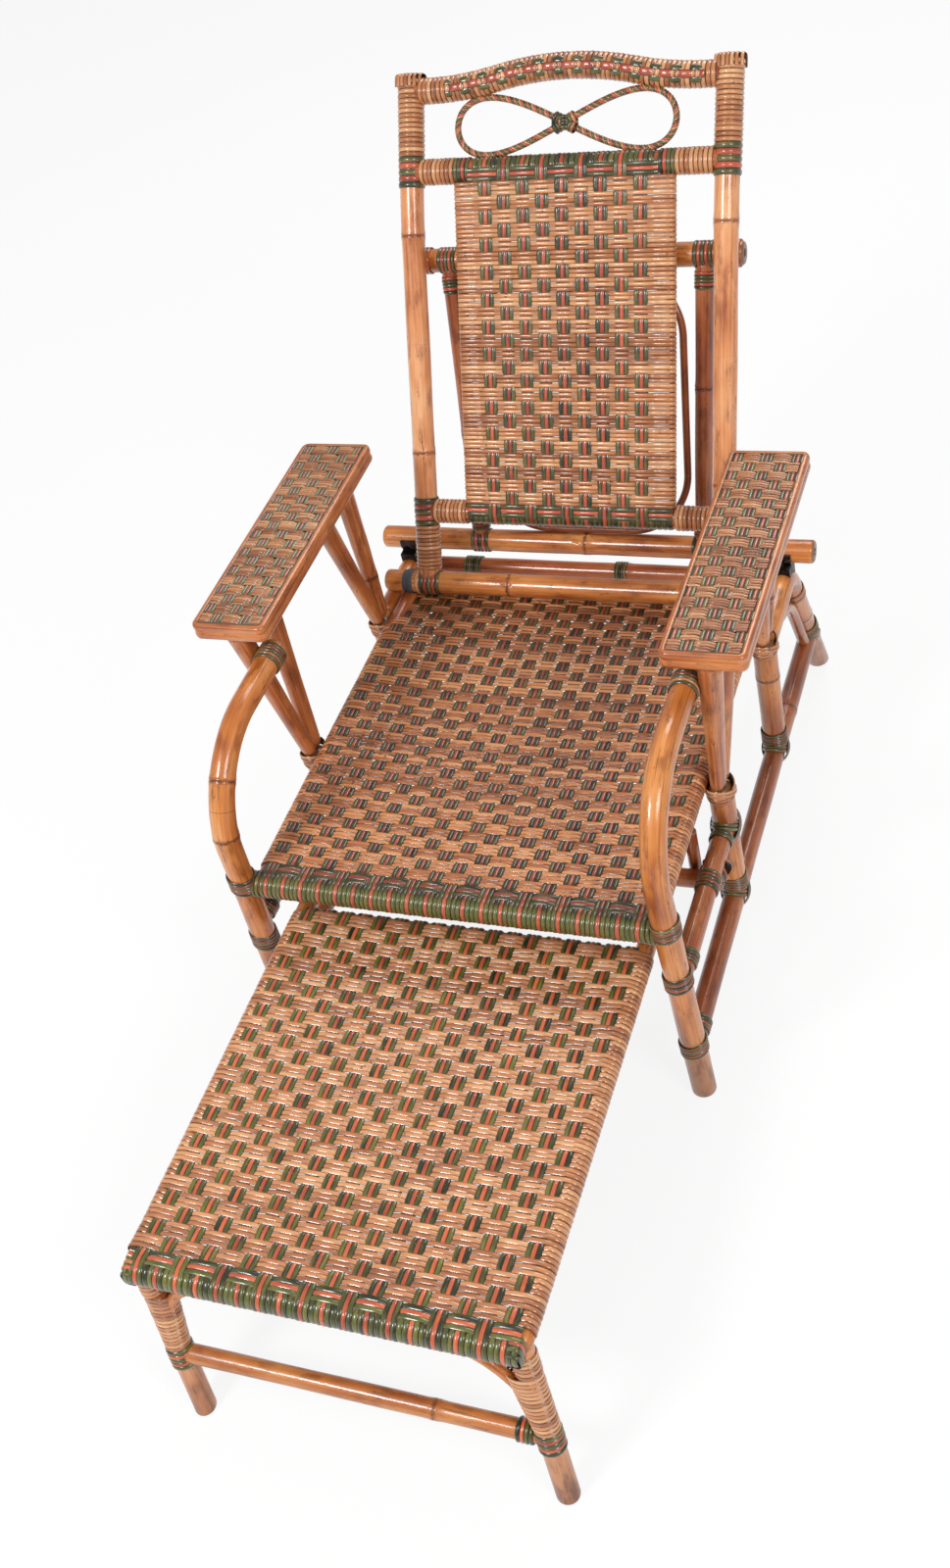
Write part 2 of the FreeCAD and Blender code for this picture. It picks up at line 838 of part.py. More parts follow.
def loop_ornament():
    """Make the figure of eight in thin cane between top rail and crossbar."""
    middle_up = (size("top_rail_up") + size("upper_crossbar_up")) / 2 + size("ornament_lift")
    centre = on_back(0, middle_up)
    rise = back_heading(middle_up)
    radius = size("ornament_loop_radius")
    far = size("ornament_half") - radius
    lean = math.asin(radius / far)
    touch = far * math.cos(lean)
    cane = size("cane_radius")
    across = touch * math.cos(lean)
    away = rise * (touch * math.sin(lean))
    shape = Part.makeSphere(size("knot_radius"), centre)
    for sign in SIDES.values():
        outward = ALONG_X * sign
        upper = centre + outward * across + away
        lower = centre + outward * across - away
        tip = centre + outward * (far + radius)
        for bend in (upper, lower):
            shape = shape.fuse(Part.makeCylinder(cane, touch, centre, bend - centre))
        arc = Part.Wire([Part.Arc(upper, tip, lower).toShape()])
        section = Part.Wire([Part.makeCircle(cane, upper, upper - centre)])
        shape = shape.fuse(arc.makePipeShell([section], True, False))
    ornament = helper("Part::Feature", "loop_ornament")
    ornament.Shape = shape
    return keep("loop_ornament", ornament)


def prop_frame():
    """Make the prop that holds the back up, with its bars, poles and brace."""
    up = size("prop_bar_up")
    offset = size("prop_hinge_offset")
    upper = helper("Part::Cylinder", "upper_prop_bar")
    upper.setExpression("Radius", cell("leg_radius"))
    upper.setExpression("Height", "2 * " + cell("upper_bar_half"))
    upper.Placement = aimed(on_back(-size("upper_bar_half"), up, offset), ALONG_X)
    keep("prop_upper_bar", upper)
    lower = cross_pole(
        "lower_prop_bar",
        "lower_bar_half",
        size("lower_bar_back"),
        size("lower_bar_height"),
        "leg_radius",
    )
    keep("prop_lower_bar", lower)
    poles = []
    for side, sign in SIDES.items():
        foot = point(
            sign * size("prop_pole_foot_half"),
            size("lower_bar_back"),
            size("lower_bar_height"),
        )
        head = on_back(sign * size("prop_pole_top_half"), up, offset)
        pole = straight_pole("prop_pole_" + side, foot, head, "prop_pole_radius")
        poles.append(keep("prop_pole_" + side, coped(pole, [upper, lower])))

    # Thin cane hoop that stiffens the frame from inside
    foot = point(0, size("lower_bar_back"), size("lower_bar_height"))
    head = on_back(0, up, offset)
    rise = (head - foot).normalize()
    inset = size("leg_radius") + size("hoop_brace_radius") + size("clear_gap")
    height = (head - foot).Length - 2 * inset
    beside = size("prop_pole_radius") + size("hoop_brace_radius") + size("hoop_brace_gap")
    half = size("prop_pole_foot_half") - beside
    corner = size("hoop_brace_corner")
    side_run = height - 2 * corner
    end_run = 2 * half - 2 * corner
    start = foot + ALONG_X * half + rise * (inset + corner)
    inward = ALONG_X * -1
    hoop = bent_pole(
        "prop_hoop_pole",
        [("run", side_run), ("bend", corner, 90.0), ("run", end_run), ("bend", corner, 90.0)] * 2,
        "hoop_brace_radius",
        FreeCAD.Placement(start, FreeCAD.Rotation(inward.cross(rise), inward, rise, "ZYX")),
    )
    keep("prop_hoop_brace", hoop)
    return {"poles": poles, "hoop": hoop}


def prop_hooks(frames, rear_rail):
    """Make the iron hooks on the rear legs that the lower prop bar drops into."""
    width = size("hook_width")
    inner = size("leg_radius") + size("hook_gap")
    outer = inner + size("hook_wall")
    deep = 2 * size("cut_depth")
    bar_up = UPWARD * size("lower_bar_height")
    hooks = []
    for side, sign in SIDES.items():
        start = point(sign * size("frame_half") - width / 2, size("lower_bar_back"), 0) + bar_up
        ring = Part.makeCylinder(outer, width, start, ALONG_X)
        mouth = start + ALONG_Y * size("hook_mouth_back") - UPWARD * size("hook_mouth_low")
        open_rear = Part.makeBox(width, deep, deep, mouth)
        above = start - ALONG_Y * size("hook_mouth_ahead") + UPWARD * size("hook_mouth_high")
        open_top = Part.makeBox(width, deep, deep, above)
        under = start - ALONG_Y * size("hook_foot_ahead") - UPWARD * size("hook_foot_drop")
        foot = Part.makeBox(width, size("hook_foot_length"), size("hook_foot_height"), under)
        shape = ring.fuse(foot).cut(open_rear).cut(open_top)
        shape = shape.cut(Part.makeCylinder(inner, width, start, ALONG_X))
        shape = shape.cut(frames[side]["hoop"].Shape).cut(rear_rail.Shape)
        hooks.append(max(shape.Solids, key=lambda solid: solid.BoundBox.ZMax))
    node = helper("Part::Feature", "prop_hooks")
    node.Shape = Part.makeCompound(hooks)
    return keep("prop_hooks", node)


def footrest():
    """Make the sliding footrest: side poles, rails, panel, legs and pegs."""
    height = size("footrest_height")
    roll = cross_pole(
        "footrest_roll_pole",
        "footrest_half",
        size("footrest_front"),
        height,
        "footrest_roll_radius",
    )
    keep("footrest_front_rail", roll)
    poles = []
    for side, sign in SIDES.items():
        across = sign * size("footrest_half")
        pole = straight_pole(
            "footrest_pole_" + side,
            point(across, size("footrest_front"), height),
            point(across, size("footrest_tail"), height),
            "footrest_pole_radius",
        )
        poles.append(keep("footrest_side_pole_" + side, coped(pole, [roll])))
    made = {}
    for name in ("rear_rail", "tail_bar"):
        bar = cross_pole(
            "footrest_%s_pole" % name,
            "footrest_half",
            size("footrest_" + name),
            height,
            "thin_pole_radius",
        )
        made[name] = keep("footrest_" + name, coped(bar, poles))
    top = height + size("footrest_pole_radius") - size("footrest_panel_drop")
    sagged = top - size("footrest_panel_sag")
    top_line = [
        (size("footrest_front"), top),
        (size("footrest_sag_end"), sagged),
        (size("footrest_sag_start"), sagged),
        (size("footrest_rear_rail"), top),
    ]
    slab = plate_across("footrest_slab", top_line, "footrest_half")
    woven = with_bands(slab, bands_across("footrest", top_line))
    keep("footrest_panel", coped(woven, poles + [roll, made["rear_rail"]]))

    # Front legs, which lean as the old frame has settled to one side
    margin = size("footrest_space_margin")
    low_side = top - size("panel_depth")
    weave_space = box(
        "footrest_weave_space",
        point(-size("footrest_half") - margin, size("footrest_front") - margin, low_side),
        point(size("footrest_half") + margin, size("footrest_rear_rail"), low_side + margin),
    )
    legs = {}
    for side, sign in SIDES.items():
        head = point(sign * size("footrest_leg_half"), size("footrest_leg_front"), height)
        foot = point(
            sign * size("footrest_leg_half") + size("footrest_leg_shift"),
            size("footrest_foot_front"),
            0,
        )
        past = foot + (foot - head).normalize() * size("foot_overrun")
        leg = straight_pole("footrest_leg_pole_" + side, head, past, "footrest_leg_radius")
        tools = [roll] + poles + [floor_block, weave_space]
        legs[side] = keep("footrest_leg_" + side, coped(leg, tools))
        made["axis_" + side] = (head, foot)
    low = size("footrest_stretcher_height")
    ends = {}
    for side in SIDES:
        head, foot = made["axis_" + side]
        ends[side] = foot + (head - foot) * (low / head.z)
    stretcher = straight_pole(
        "footrest_stretcher_pole", ends["left"], ends["right"], "thin_pole_radius"
    )
    made["stretcher"] = keep("footrest_stretcher", coped(stretcher, list(legs.values())))

    pegs = []
    for side, sign in SIDES.items():
        across = sign * size("peg_half")
        peg = straight_pole(
            "peg_" + side,
            point(across, size("peg_back"), size("peg_bottom")),
            point(across, size("peg_back"), size("peg_top")),
            "peg_radius",
        )
        pegs.append(peg)
    pair = helper("Part::Compound", "peg_pair")
    pair.Links = pegs
    keep("footrest_stop_pegs", pair)
    return made


def ring_at(centre, along, radius, length="lashing_length"):
    """Describe a lashing round a pole of a given radius."""
    return (centre, along, radius, size("lashing_wall"), size(length))


def lashings(frames, seat_parts, base_parts, posts, bars, prop, rest):
    """Make the cane lashings that tie the joints, grouped by body."""
    leg = size("leg_radius")
    rail = size("side_rail_radius")
    coloured = []
    natural = []
    poles = [seat_parts["front"]] + base_parts + seat_parts["rails"]
    for side, sign in SIDES.items():
        frame = frames[side]
        poles += [
            frame["bow"], frame["stretcher"], frame["front_post"], frame["rear_post"],
            frame["hoop"], frame["slide"], frame["front_fork"], frame["rear_fork"],
        ]
        lean = math.radians(size("bow_lean"))
        bow_up = direction(-sign * math.sin(lean), 0, math.cos(lean))
        foot = point(sign * size("bow_foot_half"), -size("bow_ahead"), 0)
        heights = (
            size("stretcher_height") - size("stretcher_radius") - size("stretcher_lashing_drop"),
            size("slide_rail_height") - rail - size("slide_lashing_drop"),
            size("seat_rail_height") + size("front_rail_radius") + size("seat_lashing_lift"),
        )
        for height in heights:
            coloured.append(ring_at(foot + bow_up * height, bow_up, leg))
        bow_top = size("bow_straight") + size("bow_bend_radius")
        bow_end = size("bow_bend_radius") + size("bow_top_run") - size("bow_ahead")
        end_half = size("bow_foot_half") - bow_top * math.sin(lean)
        end = point(
            sign * end_half, bow_end - size("bow_end_lashing"), bow_top * math.cos(lean)
        )
        coloured.append(ring_at(end, ALONG_Y, leg))
        frame_x = sign * size("frame_half")
        low = size("stretcher_height")
        for back in (size("front_post_back"), size("rear_post_back")):
            lift = size("stretcher_radius") + size("post_lashing_lift")
            coloured.append(ring_at(point(frame_x, back, low + lift), UPWARD, leg))
            high = size("fork_height") - size("fork_lashing_drop")
            natural.append(ring_at(point(frame_x, back, high), UPWARD, leg))
        reach = size("rear_foot_back") - size("hoop_corner_back")
        leg_up = direction(0, -reach, size("hoop_height"))
        rear_foot = point(frame_x, size("rear_foot_back"), 0)
        up_leg = low / leg_up.z + size("rear_leg_lashing_lift")
        coloured.append(ring_at(rear_foot + leg_up * up_leg, leg_up, leg))
    ring_group("frame_lashings", coloured, poles)
    ring_group("fork_lashings", natural, poles)

    strap = (
        point(-size("strap_half"), size("pivot_back"), size("pivot_height")),
        ALONG_X,
        leg,
        size("strap_wall"),
        size("strap_length"),
    )
    ring_group("pivot_strap", [strap], poles)

    # Loops in which the pivot bar and the upper prop bar turn
    inner = leg + size("loop_clearance")
    both = [posts["left"], posts["right"]]
    pivot_rings = []
    prop_rings = []
    for sign in SIDES.values():
        across = sign * size("post_half")
        centre = point(across, size("pivot_back"), size("pivot_height"))
        pivot_rings.append((centre, ALONG_X, inner, size("loop_wall"), size("pivot_loop_length")))
        hinge = on_back(across, size("prop_bar_up"), size("prop_hinge_offset"))
        prop_rings.append((hinge, ALONG_X, inner, size("loop_wall"), size("prop_loop_length")))
    ring_group("back_pivot_loops", pivot_rings, both)
    ring_group("prop_hinge_loops", prop_rings, both)

    on_posts = []
    for sign in SIDES.values():
        for up in (size("lower_crossbar_up"), size("upper_crossbar_up")):
            centre = on_back(sign * size("post_half"), up)
            on_posts.append(
                ring_at(centre, back_heading(up), leg, "crossbar_lashing_length")
            )
    ring_group("back_lashings", on_posts, [bars["lower"], bars["upper"]])

    on_prop = []
    for sign in SIDES.values():
        head = on_back(
            sign * size("prop_pole_top_half"), size("prop_bar_up"), size("prop_hinge_offset")
        )
        foot = point(
            sign * size("prop_pole_foot_half"),
            size("lower_bar_back"),
            size("lower_bar_height"),
        )
        along = (foot - head).normalize()
        below_head = head + along * size("prop_head_lashing")
        above_foot = foot - along * size("prop_foot_lashing")
        for centre in (below_head, above_foot):
            on_prop.append(ring_at(centre, along, size("prop_pole_radius")))
    ring_group("prop_lashings", on_prop, prop["poles"] + [prop["hoop"]])

    on_rest = []
    for side in SIDES:
        head, foot = rest["axis_" + side]
        along = (foot - head).normalize()
        down = (head.z - size("footrest_stretcher_height")) / abs(along.z)
        on_rest.append(
            ring_at(
                head + along * down,
                along,
                size("footrest_leg_radius"),
                "footrest_lashing_length",
            )
        )
    ring_group("footrest_lashings", on_rest, [rest["stretcher"]])


frames = {side: side_frame(side) for side in SIDES}
for side in SIDES:
    forks(side, frames[side])
    armrest(side)
seat_parts = seat(frames)
crossbar, rear_rail = base_cross_members(frames)
braces = rear_leg_braces(frames)
doc.recompute()
prop_hooks(frames, rear_rail)
posts, bars = back_frame()
loop_ornament()
prop = prop_frame()
rest = footrest()
doc.recompute()
lashings(frames, seat_parts, [crossbar, braces], posts, bars, prop, rest)
doc.recompute()

for thing in doc.Objects:
    bad = [state for state in thing.State if state in ("Invalid", "Error")]
    if bad:
        raise RuntimeError("%s is %s" % (thing.Label, bad))

total = FreeCAD.BoundBox()
for label, piece in nodes.items():
    shape = piece.Shape
    if shape.isNull() or not shape.isValid() or not shape.Solids:
        raise RuntimeError(label + " has no valid solid")
    total.add(shape.BoundBox)
    shape.exportStep("parts/%s.step" % label)

print("nodes", len(nodes))
print("box", total)
print("middle of the length", (total.YMin + total.YMax) / 2)
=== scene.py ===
import math

import bpy
import numpy as np
from mathutils import Matrix, Vector


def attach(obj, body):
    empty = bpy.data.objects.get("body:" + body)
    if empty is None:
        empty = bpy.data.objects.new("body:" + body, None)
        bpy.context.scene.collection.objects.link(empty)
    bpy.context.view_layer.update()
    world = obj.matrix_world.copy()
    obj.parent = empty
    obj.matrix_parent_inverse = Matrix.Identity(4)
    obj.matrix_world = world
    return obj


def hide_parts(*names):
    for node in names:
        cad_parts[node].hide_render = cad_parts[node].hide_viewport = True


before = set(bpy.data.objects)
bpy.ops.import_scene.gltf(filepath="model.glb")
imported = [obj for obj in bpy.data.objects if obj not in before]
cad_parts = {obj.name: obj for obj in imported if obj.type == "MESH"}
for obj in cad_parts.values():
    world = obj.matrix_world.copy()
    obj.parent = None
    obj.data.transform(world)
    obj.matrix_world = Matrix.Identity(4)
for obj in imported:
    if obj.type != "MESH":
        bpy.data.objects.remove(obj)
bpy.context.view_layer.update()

# ---- Front legs ----
# Each front leg is one pole of glossy bamboo that stands on the floor, leans a
# little inwards and is steamed and bent back in a quarter turn at the top.
# Bamboo swells at its nodes, where a thin dark ring runs round the pole.
RAIL_TO_MIDDLE = 0.1871
SIDES = {"left": -1, "right": 1}
X, Y, Z = np.eye(3)
chance = np.random.default_rng(11)


def spot(x, back, z):
    """Point in the chair's frame from its distance behind the front seat rail."""
    return np.array([x, back - RAIL_TO_MIDDLE, z])


def unit(vectors):
    """Vectors divided by their own lengths."""
    return vectors / np.linalg.norm(vectors, axis=-1, keepdims=True)


def bent_line(start, heading, towards, steps, gap=0.004):
    """Centre line of a pole bent in one plane, as rows of points.

    A run moves along the heading h. A bend of radius r through an angle a is
    r sin(t) h + r (1 - cos(t)) w, for t from 0 to a, where w is the side that
    it turns to; both are then turned by a. A negative angle bends away from w.
    """
    at, h, w = (np.asarray(v, float) for v in (start, heading, towards))
    parts = [at[None]]
    for kind, *sizes in steps:
        if kind == "run":
            t = np.linspace(0, sizes[0], int(sizes[0] / gap) + 2)[1:, None]
            parts.append(at + t * h)
        else:
            radius, degrees = sizes
            angle, side = math.radians(abs(degrees)), math.copysign(1, degrees)
            t = np.linspace(0, angle, int(angle * radius / gap) + 8)[1:, None]
            parts.append(at + radius * (np.sin(t) * h + side * (1 - np.cos(t)) * w))
            c, s = math.cos(angle), side * math.sin(angle)
            h, w = c * h + s * w, c * w - s * h
        at = parts[-1][-1]
    return np.concatenate(parts)


class Line:
    """A line with its length and, at each point, its heading and two sides."""

    def __init__(self, points, across):
        self.points = np.asarray(points, float)
        steps = np.linalg.norm(np.diff(self.points, axis=0), axis=1)
        self.lengths = np.concatenate([[0], np.cumsum(steps)])
        self.ahead = unit(np.gradient(self.points, self.lengths, axis=0))
        self.side = unit(across - (self.ahead @ across)[:, None] * self.ahead)
        self.up = np.cross(self.ahead, self.side)
        self.total = self.lengths[-1]

    def at(self, s):
        """Point, heading, side and up at lengths s, between the line's rows."""
        rows = (self.points, self.ahead, self.side, self.up)
        return [np.stack([np.interp(s, self.lengths, r[:, k]) for k in range(3)], -1) for r in rows]

    def point(self, s):
        """The one point at length s."""
        return self.at(np.array([s]))[0][0]


def straight(start, end, across=X):
    """Line between two points, with a side across that it isn't parallel to."""
    return Line(np.linspace(start, end, 9), np.asarray(across, float))


def solid(grid, marks, loop=False):
    """Closed skin over a grid of points: strands, along, around, and xyz.

    Each square joins a row to the next and wraps round. Open ends are closed
    by one flat face, whose corners are the end row. Marks ride along.
    """
    count, rows, around = grid.shape[:3]
    index = np.arange(count * rows * around).reshape(count, rows, around)
    turned = np.roll(index, -1, axis=2)
    if loop:
        corners = [index, turned, np.roll(turned, -1, axis=1), np.roll(index, -1, axis=1)]
        ends = np.zeros((0, around), int)
    else:
        corners = [index[:, :-1], turned[:, :-1], turned[:, 1:], index[:, 1:]]
        ends = np.concatenate([index[:, 0, ::-1], index[:, -1]])
    squares = np.stack(corners, -1).reshape(-1, 4)
    spread = {}
    for key, value in marks.items():
        spread[key] = np.broadcast_to(value, grid.shape if key == "grain" else grid.shape[:3])
    return {"points": grid, "squares": squares, "ends": ends, "marks": spread}


def piece(name, solids, finish, body, nodes=()):
    """Join solids into one object, mark its points, and fix it to its body."""
    points = np.concatenate([s["points"].reshape(-1, 3) for s in solids])
    starts = np.cumsum([0] + [s["points"].size // 3 for s in solids])
    squares = np.concatenate([s["squares"] + n for s, n in zip(solids, starts)])
    ends = [s["ends"] + n for s, n in zip(solids, starts)]
    corners = np.concatenate([squares.ravel()] + [e.ravel() for e in ends])
    sizes = np.concatenate([np.full(len(squares), 4)] + [np.full(len(e), e.shape[1]) for e in ends])
    loop_starts = np.concatenate([[0], np.cumsum(sizes)[:-1]])
    mesh = bpy.data.meshes.new(name)
    mesh.vertices.add(len(points))
    mesh.vertices.foreach_set("co", points.astype(np.float32).ravel())
    mesh.loops.add(len(corners))
    mesh.loops.foreach_set("vertex_index", corners.astype(np.int32))
    mesh.polygons.add(len(sizes))
    mesh.polygons.foreach_set("loop_start", loop_starts.astype(np.int32))
    mesh.update(calc_edges=True)
    mesh.validate()
    for key in solids[0]["marks"]:
        width, kind, field = (3, "FLOAT_VECTOR", "vector") if key == "grain" else (1, "FLOAT", "value")
        values = np.concatenate([s["marks"][key].reshape(-1, width) for s in solids])
        mark = mesh.attributes.new(key, kind, "POINT")
        mark.data.foreach_set(field, values.astype(np.float32).ravel())
    mesh.shade_smooth()
    mesh.set_sharp_from_angle(angle=math.radians(50))
    mesh.materials.append(finish)
    made = bpy.data.objects.new(name, mesh)
    bpy.context.scene.collection.objects.link(made)
    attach(made, body)
    if nodes:
        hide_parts(*nodes)


RING_GAP = 0.009
RIPPLE, RIPPLE_LENGTH, OVAL = 0.014, 0.21, 0.008
NODE_FINE = np.array([-12, -8, -5, -3, -1.8, -0.9, 0, 0.9, 1.8, 3, 5, 8, 12]) * 0.001
NODE_SWELL, NODE_LONG = 0.0009, 0.007
NODE_GROOVE, GROOVE_LONG = 0.0007, 0.001
HOLLOW_DEPTH, EDGE_WORN = 0.004, 0.0025
FOOT_TRIM = 0.05
FAR = 0.2


def pole(line, radius, nodes=(), sawn=(False, False), taper=0.0, around=28, foot=None):
    """Round pole along a line, with its nodes at the given lengths.

    The radius is the pole's own, plus a slow ripple, plus at each node a swell
    exp(-(d / 7 mm)^2) less a groove exp(-(d / 1 mm)^2). A sawn end is worn
    round at its edge, flat, and dished in the middle where the pith was. The
    end that foot names, 0 or 1, is trimmed level with the floor.
    """
    fine = [np.arange(0, line.total, RING_GAP), [line.total], *(node + NODE_FINE for node in nodes)]
    s = np.unique(np.clip(np.concatenate(fine), 0, line.total))
    phase = chance.uniform(0, 9)
    r = radius * (1 + taper * (s / line.total - 0.5))
    r = r + radius * RIPPLE * np.sin(2 * math.pi * s / RIPPLE_LENGTH + phase)
    joint = np.full(len(s), FAR)
    for node in nodes:
        d = s - node
        r = r + NODE_SWELL * np.exp(-((d / NODE_LONG) ** 2))
        r = r - NODE_GROOVE * np.exp(-((d / GROOVE_LONG) ** 2))
        joint = np.where(np.abs(d) < np.abs(joint), d, joint)
    rows = [s, r, joint, np.zeros(len(s))]
    for end in (0, 1):
        edge = rows[1][-end]
        steps, rings = np.array([0.0]), np.array([edge * 0.6])
        if sawn[end]:
            steps = np.array([HOLLOW_DEPTH, 0, 0, EDGE_WORN])
            rings = np.array([0.3 * edge, 0.38 * edge, edge - EDGE_WORN, edge])
        cap = [steps, rings, np.full(len(steps), FAR), np.where(rings < edge - 0.001, 1.0, 0.0)]
        if end:
            keep = rows[0] < line.total - EDGE_WORN * 1.2
            cap[0] = line.total - steps
            rows = [np.concatenate([row[keep], new[::-1]]) for row, new in zip(rows, cap)]
        else:
            keep = rows[0] > EDGE_WORN * 1.2
            rows = [np.concatenate([new, row[keep]]) for row, new in zip(rows, cap)]
    s, r, joint, cut = rows
    turn = np.linspace(0, 2 * math.pi, around, endpoint=False)
    oval = 1 + OVAL * np.sin(2 * turn + phase)
    at, ahead, side, up = line.at(s)
    ring = np.cos(turn)[:, None] * side[:, None] + np.sin(turn)[:, None] * up[:, None]
    grid = at[:, None] + (r[:, None] * oval)[..., None] * ring
    if foot is not None:
        near = np.clip(1 - np.abs(s - foot * line.total) / FOOT_TRIM, 0, 1)[:, None]
        steep = np.where(near > 0, ahead[:, None, 2], 1.0)
        slant = near * (grid[..., 2] - at[:, None, 2]) / steep
        grid = grid - slant[..., None] * ahead[:, None]
        grid[..., 2] = np.maximum(grid[..., 2], 0)
    rim = np.broadcast_arrays(r[:, None] * np.cos(turn), r[:, None] * np.sin(turn), (s + phase)[:, None])
    marks = {"grain": np.stack(rim, -1)[None], "joint": joint[None, :, None], "cut": cut[None, :, None]}
    return solid(grid[None], marks)


def bar(name, node, line, radius, finish, body="base", slot="bamboo_pole", **shape):
    """One pole as a piece, which stands for one node."""
    piece(name, [pole(line, radius, **shape)], finish, body, [node])


class Value:
    """A number in a shader. Arithmetic on it adds Math nodes to its tree."""

    def __init__(self, tree, socket):
        self.tree, self.socket = tree, socket

    def math(self, operation, *values, swap=False):
        """Join this number to others by one Math node."""
        node = self.tree.nodes.new("ShaderNodeMath")
        node.operation = operation
        terms = [self, *values]
        for slot, term in zip(node.inputs, terms[::-1] if swap else terms):
            if isinstance(term, Value):
                self.tree.links.new(term.socket, slot)
            else:
                slot.default_value = term
        return Value(self.tree, node.outputs[0])

    def __add__(self, other):
        return self.math("ADD", other)

    def __sub__(self, other):
        return self.math("SUBTRACT", other)

    def __rsub__(self, other):
        return self.math("SUBTRACT", other, swap=True)

    def __mul__(self, other):
        return self.math("MULTIPLY", other)

    __radd__ = __add__
    __rmul__ = __mul__

    def size(self):
        """This number without its sign."""
        return self.math("ABSOLUTE")

    def within(self, low, high):
        """Rise smoothly from 0 at low to 1 at high, or fall if low is higher."""
        node = self.tree.nodes.new("ShaderNodeMapRange")
        node.interpolation_type = "SMOOTHSTEP"
        self.tree.links.new(self.socket, node.inputs["Value"])
        ends = (low, high, 0.0, 1.0) if low < high else (high, low, 1.0, 0.0)
        for key, value in zip(("From Min", "From Max", "To Min", "To Max"), ends):
            node.inputs[key].default_value = value
        return Value(self.tree, node.outputs["Result"])


class Finish:
    """A material that is made node by node."""

    def __init__(self, name):
        self.material = bpy.data.materials.new(name)
        self.material.use_nodes = True
        self.tree = self.material.node_tree
        self.tree.nodes.clear()

    def node(self, kind, settings=None, sockets=None):
        """Add a node: its settings first, then the values or links of its sockets."""
        made = self.tree.nodes.new("ShaderNode" + kind)
        for key, value in (settings or {}).items():
            if key == "stops":
                ramp = made.color_ramp
                while len(ramp.elements) < len(value):
                    ramp.elements.new(0.5)
                for element, (place, colour) in zip(ramp.elements, value):
                    element.position = place
                    element.color = (*colour, 1.0)
            else:
                setattr(made, key, value)
        for key, value in (sockets or {}).items():
            slot = made.inputs[key]
            if isinstance(value, Value):
                self.tree.links.new(value.socket, slot)
            elif isinstance(value, bpy.types.NodeSocket):
                self.tree.links.new(value, slot)
            elif isinstance(value, tuple) and len(value) == 3 and slot.type == "RGBA":
                slot.default_value = (*value, 1.0)
            else:
                slot.default_value = value
        return made

    def mark(self, name):
        """A number that the mesh carries at its points."""
        return Value(self.tree, self.node("Attribute", {"attribute_name": name}).outputs["Fac"])

    def grain(self):
        """The place across and along a pole or strand, which the mesh carries."""
        return self.node("Attribute", {"attribute_name": "grain"}).outputs["Vector"]

    def place(self):
        """The place in the chair's own frame."""
        return self.node("TexCoord").outputs["Object"]

    def part(self, vector, axis):
        """One part of a vector."""
        return Value(self.tree, self.node("SeparateXYZ", None, {0: vector}).outputs[axis])

    def noise(self, vector, across, along, detail=2.0):
        """Cloudy noise between 0 and 1, with one scale for X and Y and one for Z."""
        scale = {0: vector, 1: (across, across, along)}
        spread = self.node("VectorMath", {"operation": "MULTIPLY"}, scale)
        sockets = {"Vector": spread.outputs[0], "Scale": 1.0, "Detail": detail}
        return Value(self.tree, self.node("TexNoise", None, sockets).outputs["Fac"])

    def shades(self, factor, colours, stops):
        """Colours that follow one another as the factor passes the stops."""
        ramp = self.node("ValToRGB", {"stops": list(zip(stops, colours))}, {0: factor})
        return ramp.outputs[0]

    def mixed(self, factor, first, second):
        """Blend two colours."""
        return self.node("Mix", {"data_type": "RGBA"}, {0: factor, 6: first, 7: second}).outputs[2]

    def finished(self, colour, roughness, relief, depth, gloss):
        """Material of a colour, roughness, relief and depth, with its gloss sockets."""
        bump = self.node("Bump", None, {"Strength": 1.0, "Distance": depth, "Height": relief})
        sockets = {"Base Color": colour, "Roughness": roughness, "Normal": bump.outputs[0], **gloss}
        shader = self.node("BsdfPrincipled", None, sockets)
        self.node("OutputMaterial", None, {"Surface": shader.outputs[0]})
        return self.material


def tints(*screens):
    """Colours in the shader's own light values, from screen values up to 255."""
    screen = np.array(screens) / 255
    light = np.where(screen <= 0.04045, screen / 12.92, ((screen + 0.055) / 1.055) ** 2.4)
    return [tuple(colour) for colour in light.tolist()]


def dimmed(colour, *shares):
    """Colour with its parts multiplied by their shares, or all by one share."""
    return tuple((np.array(colour) * shares).tolist())


WORN_FOOT = tints((168, 112, 78), (112, 64, 42))
CUT_END = tints((150, 104, 72), (78, 48, 30))


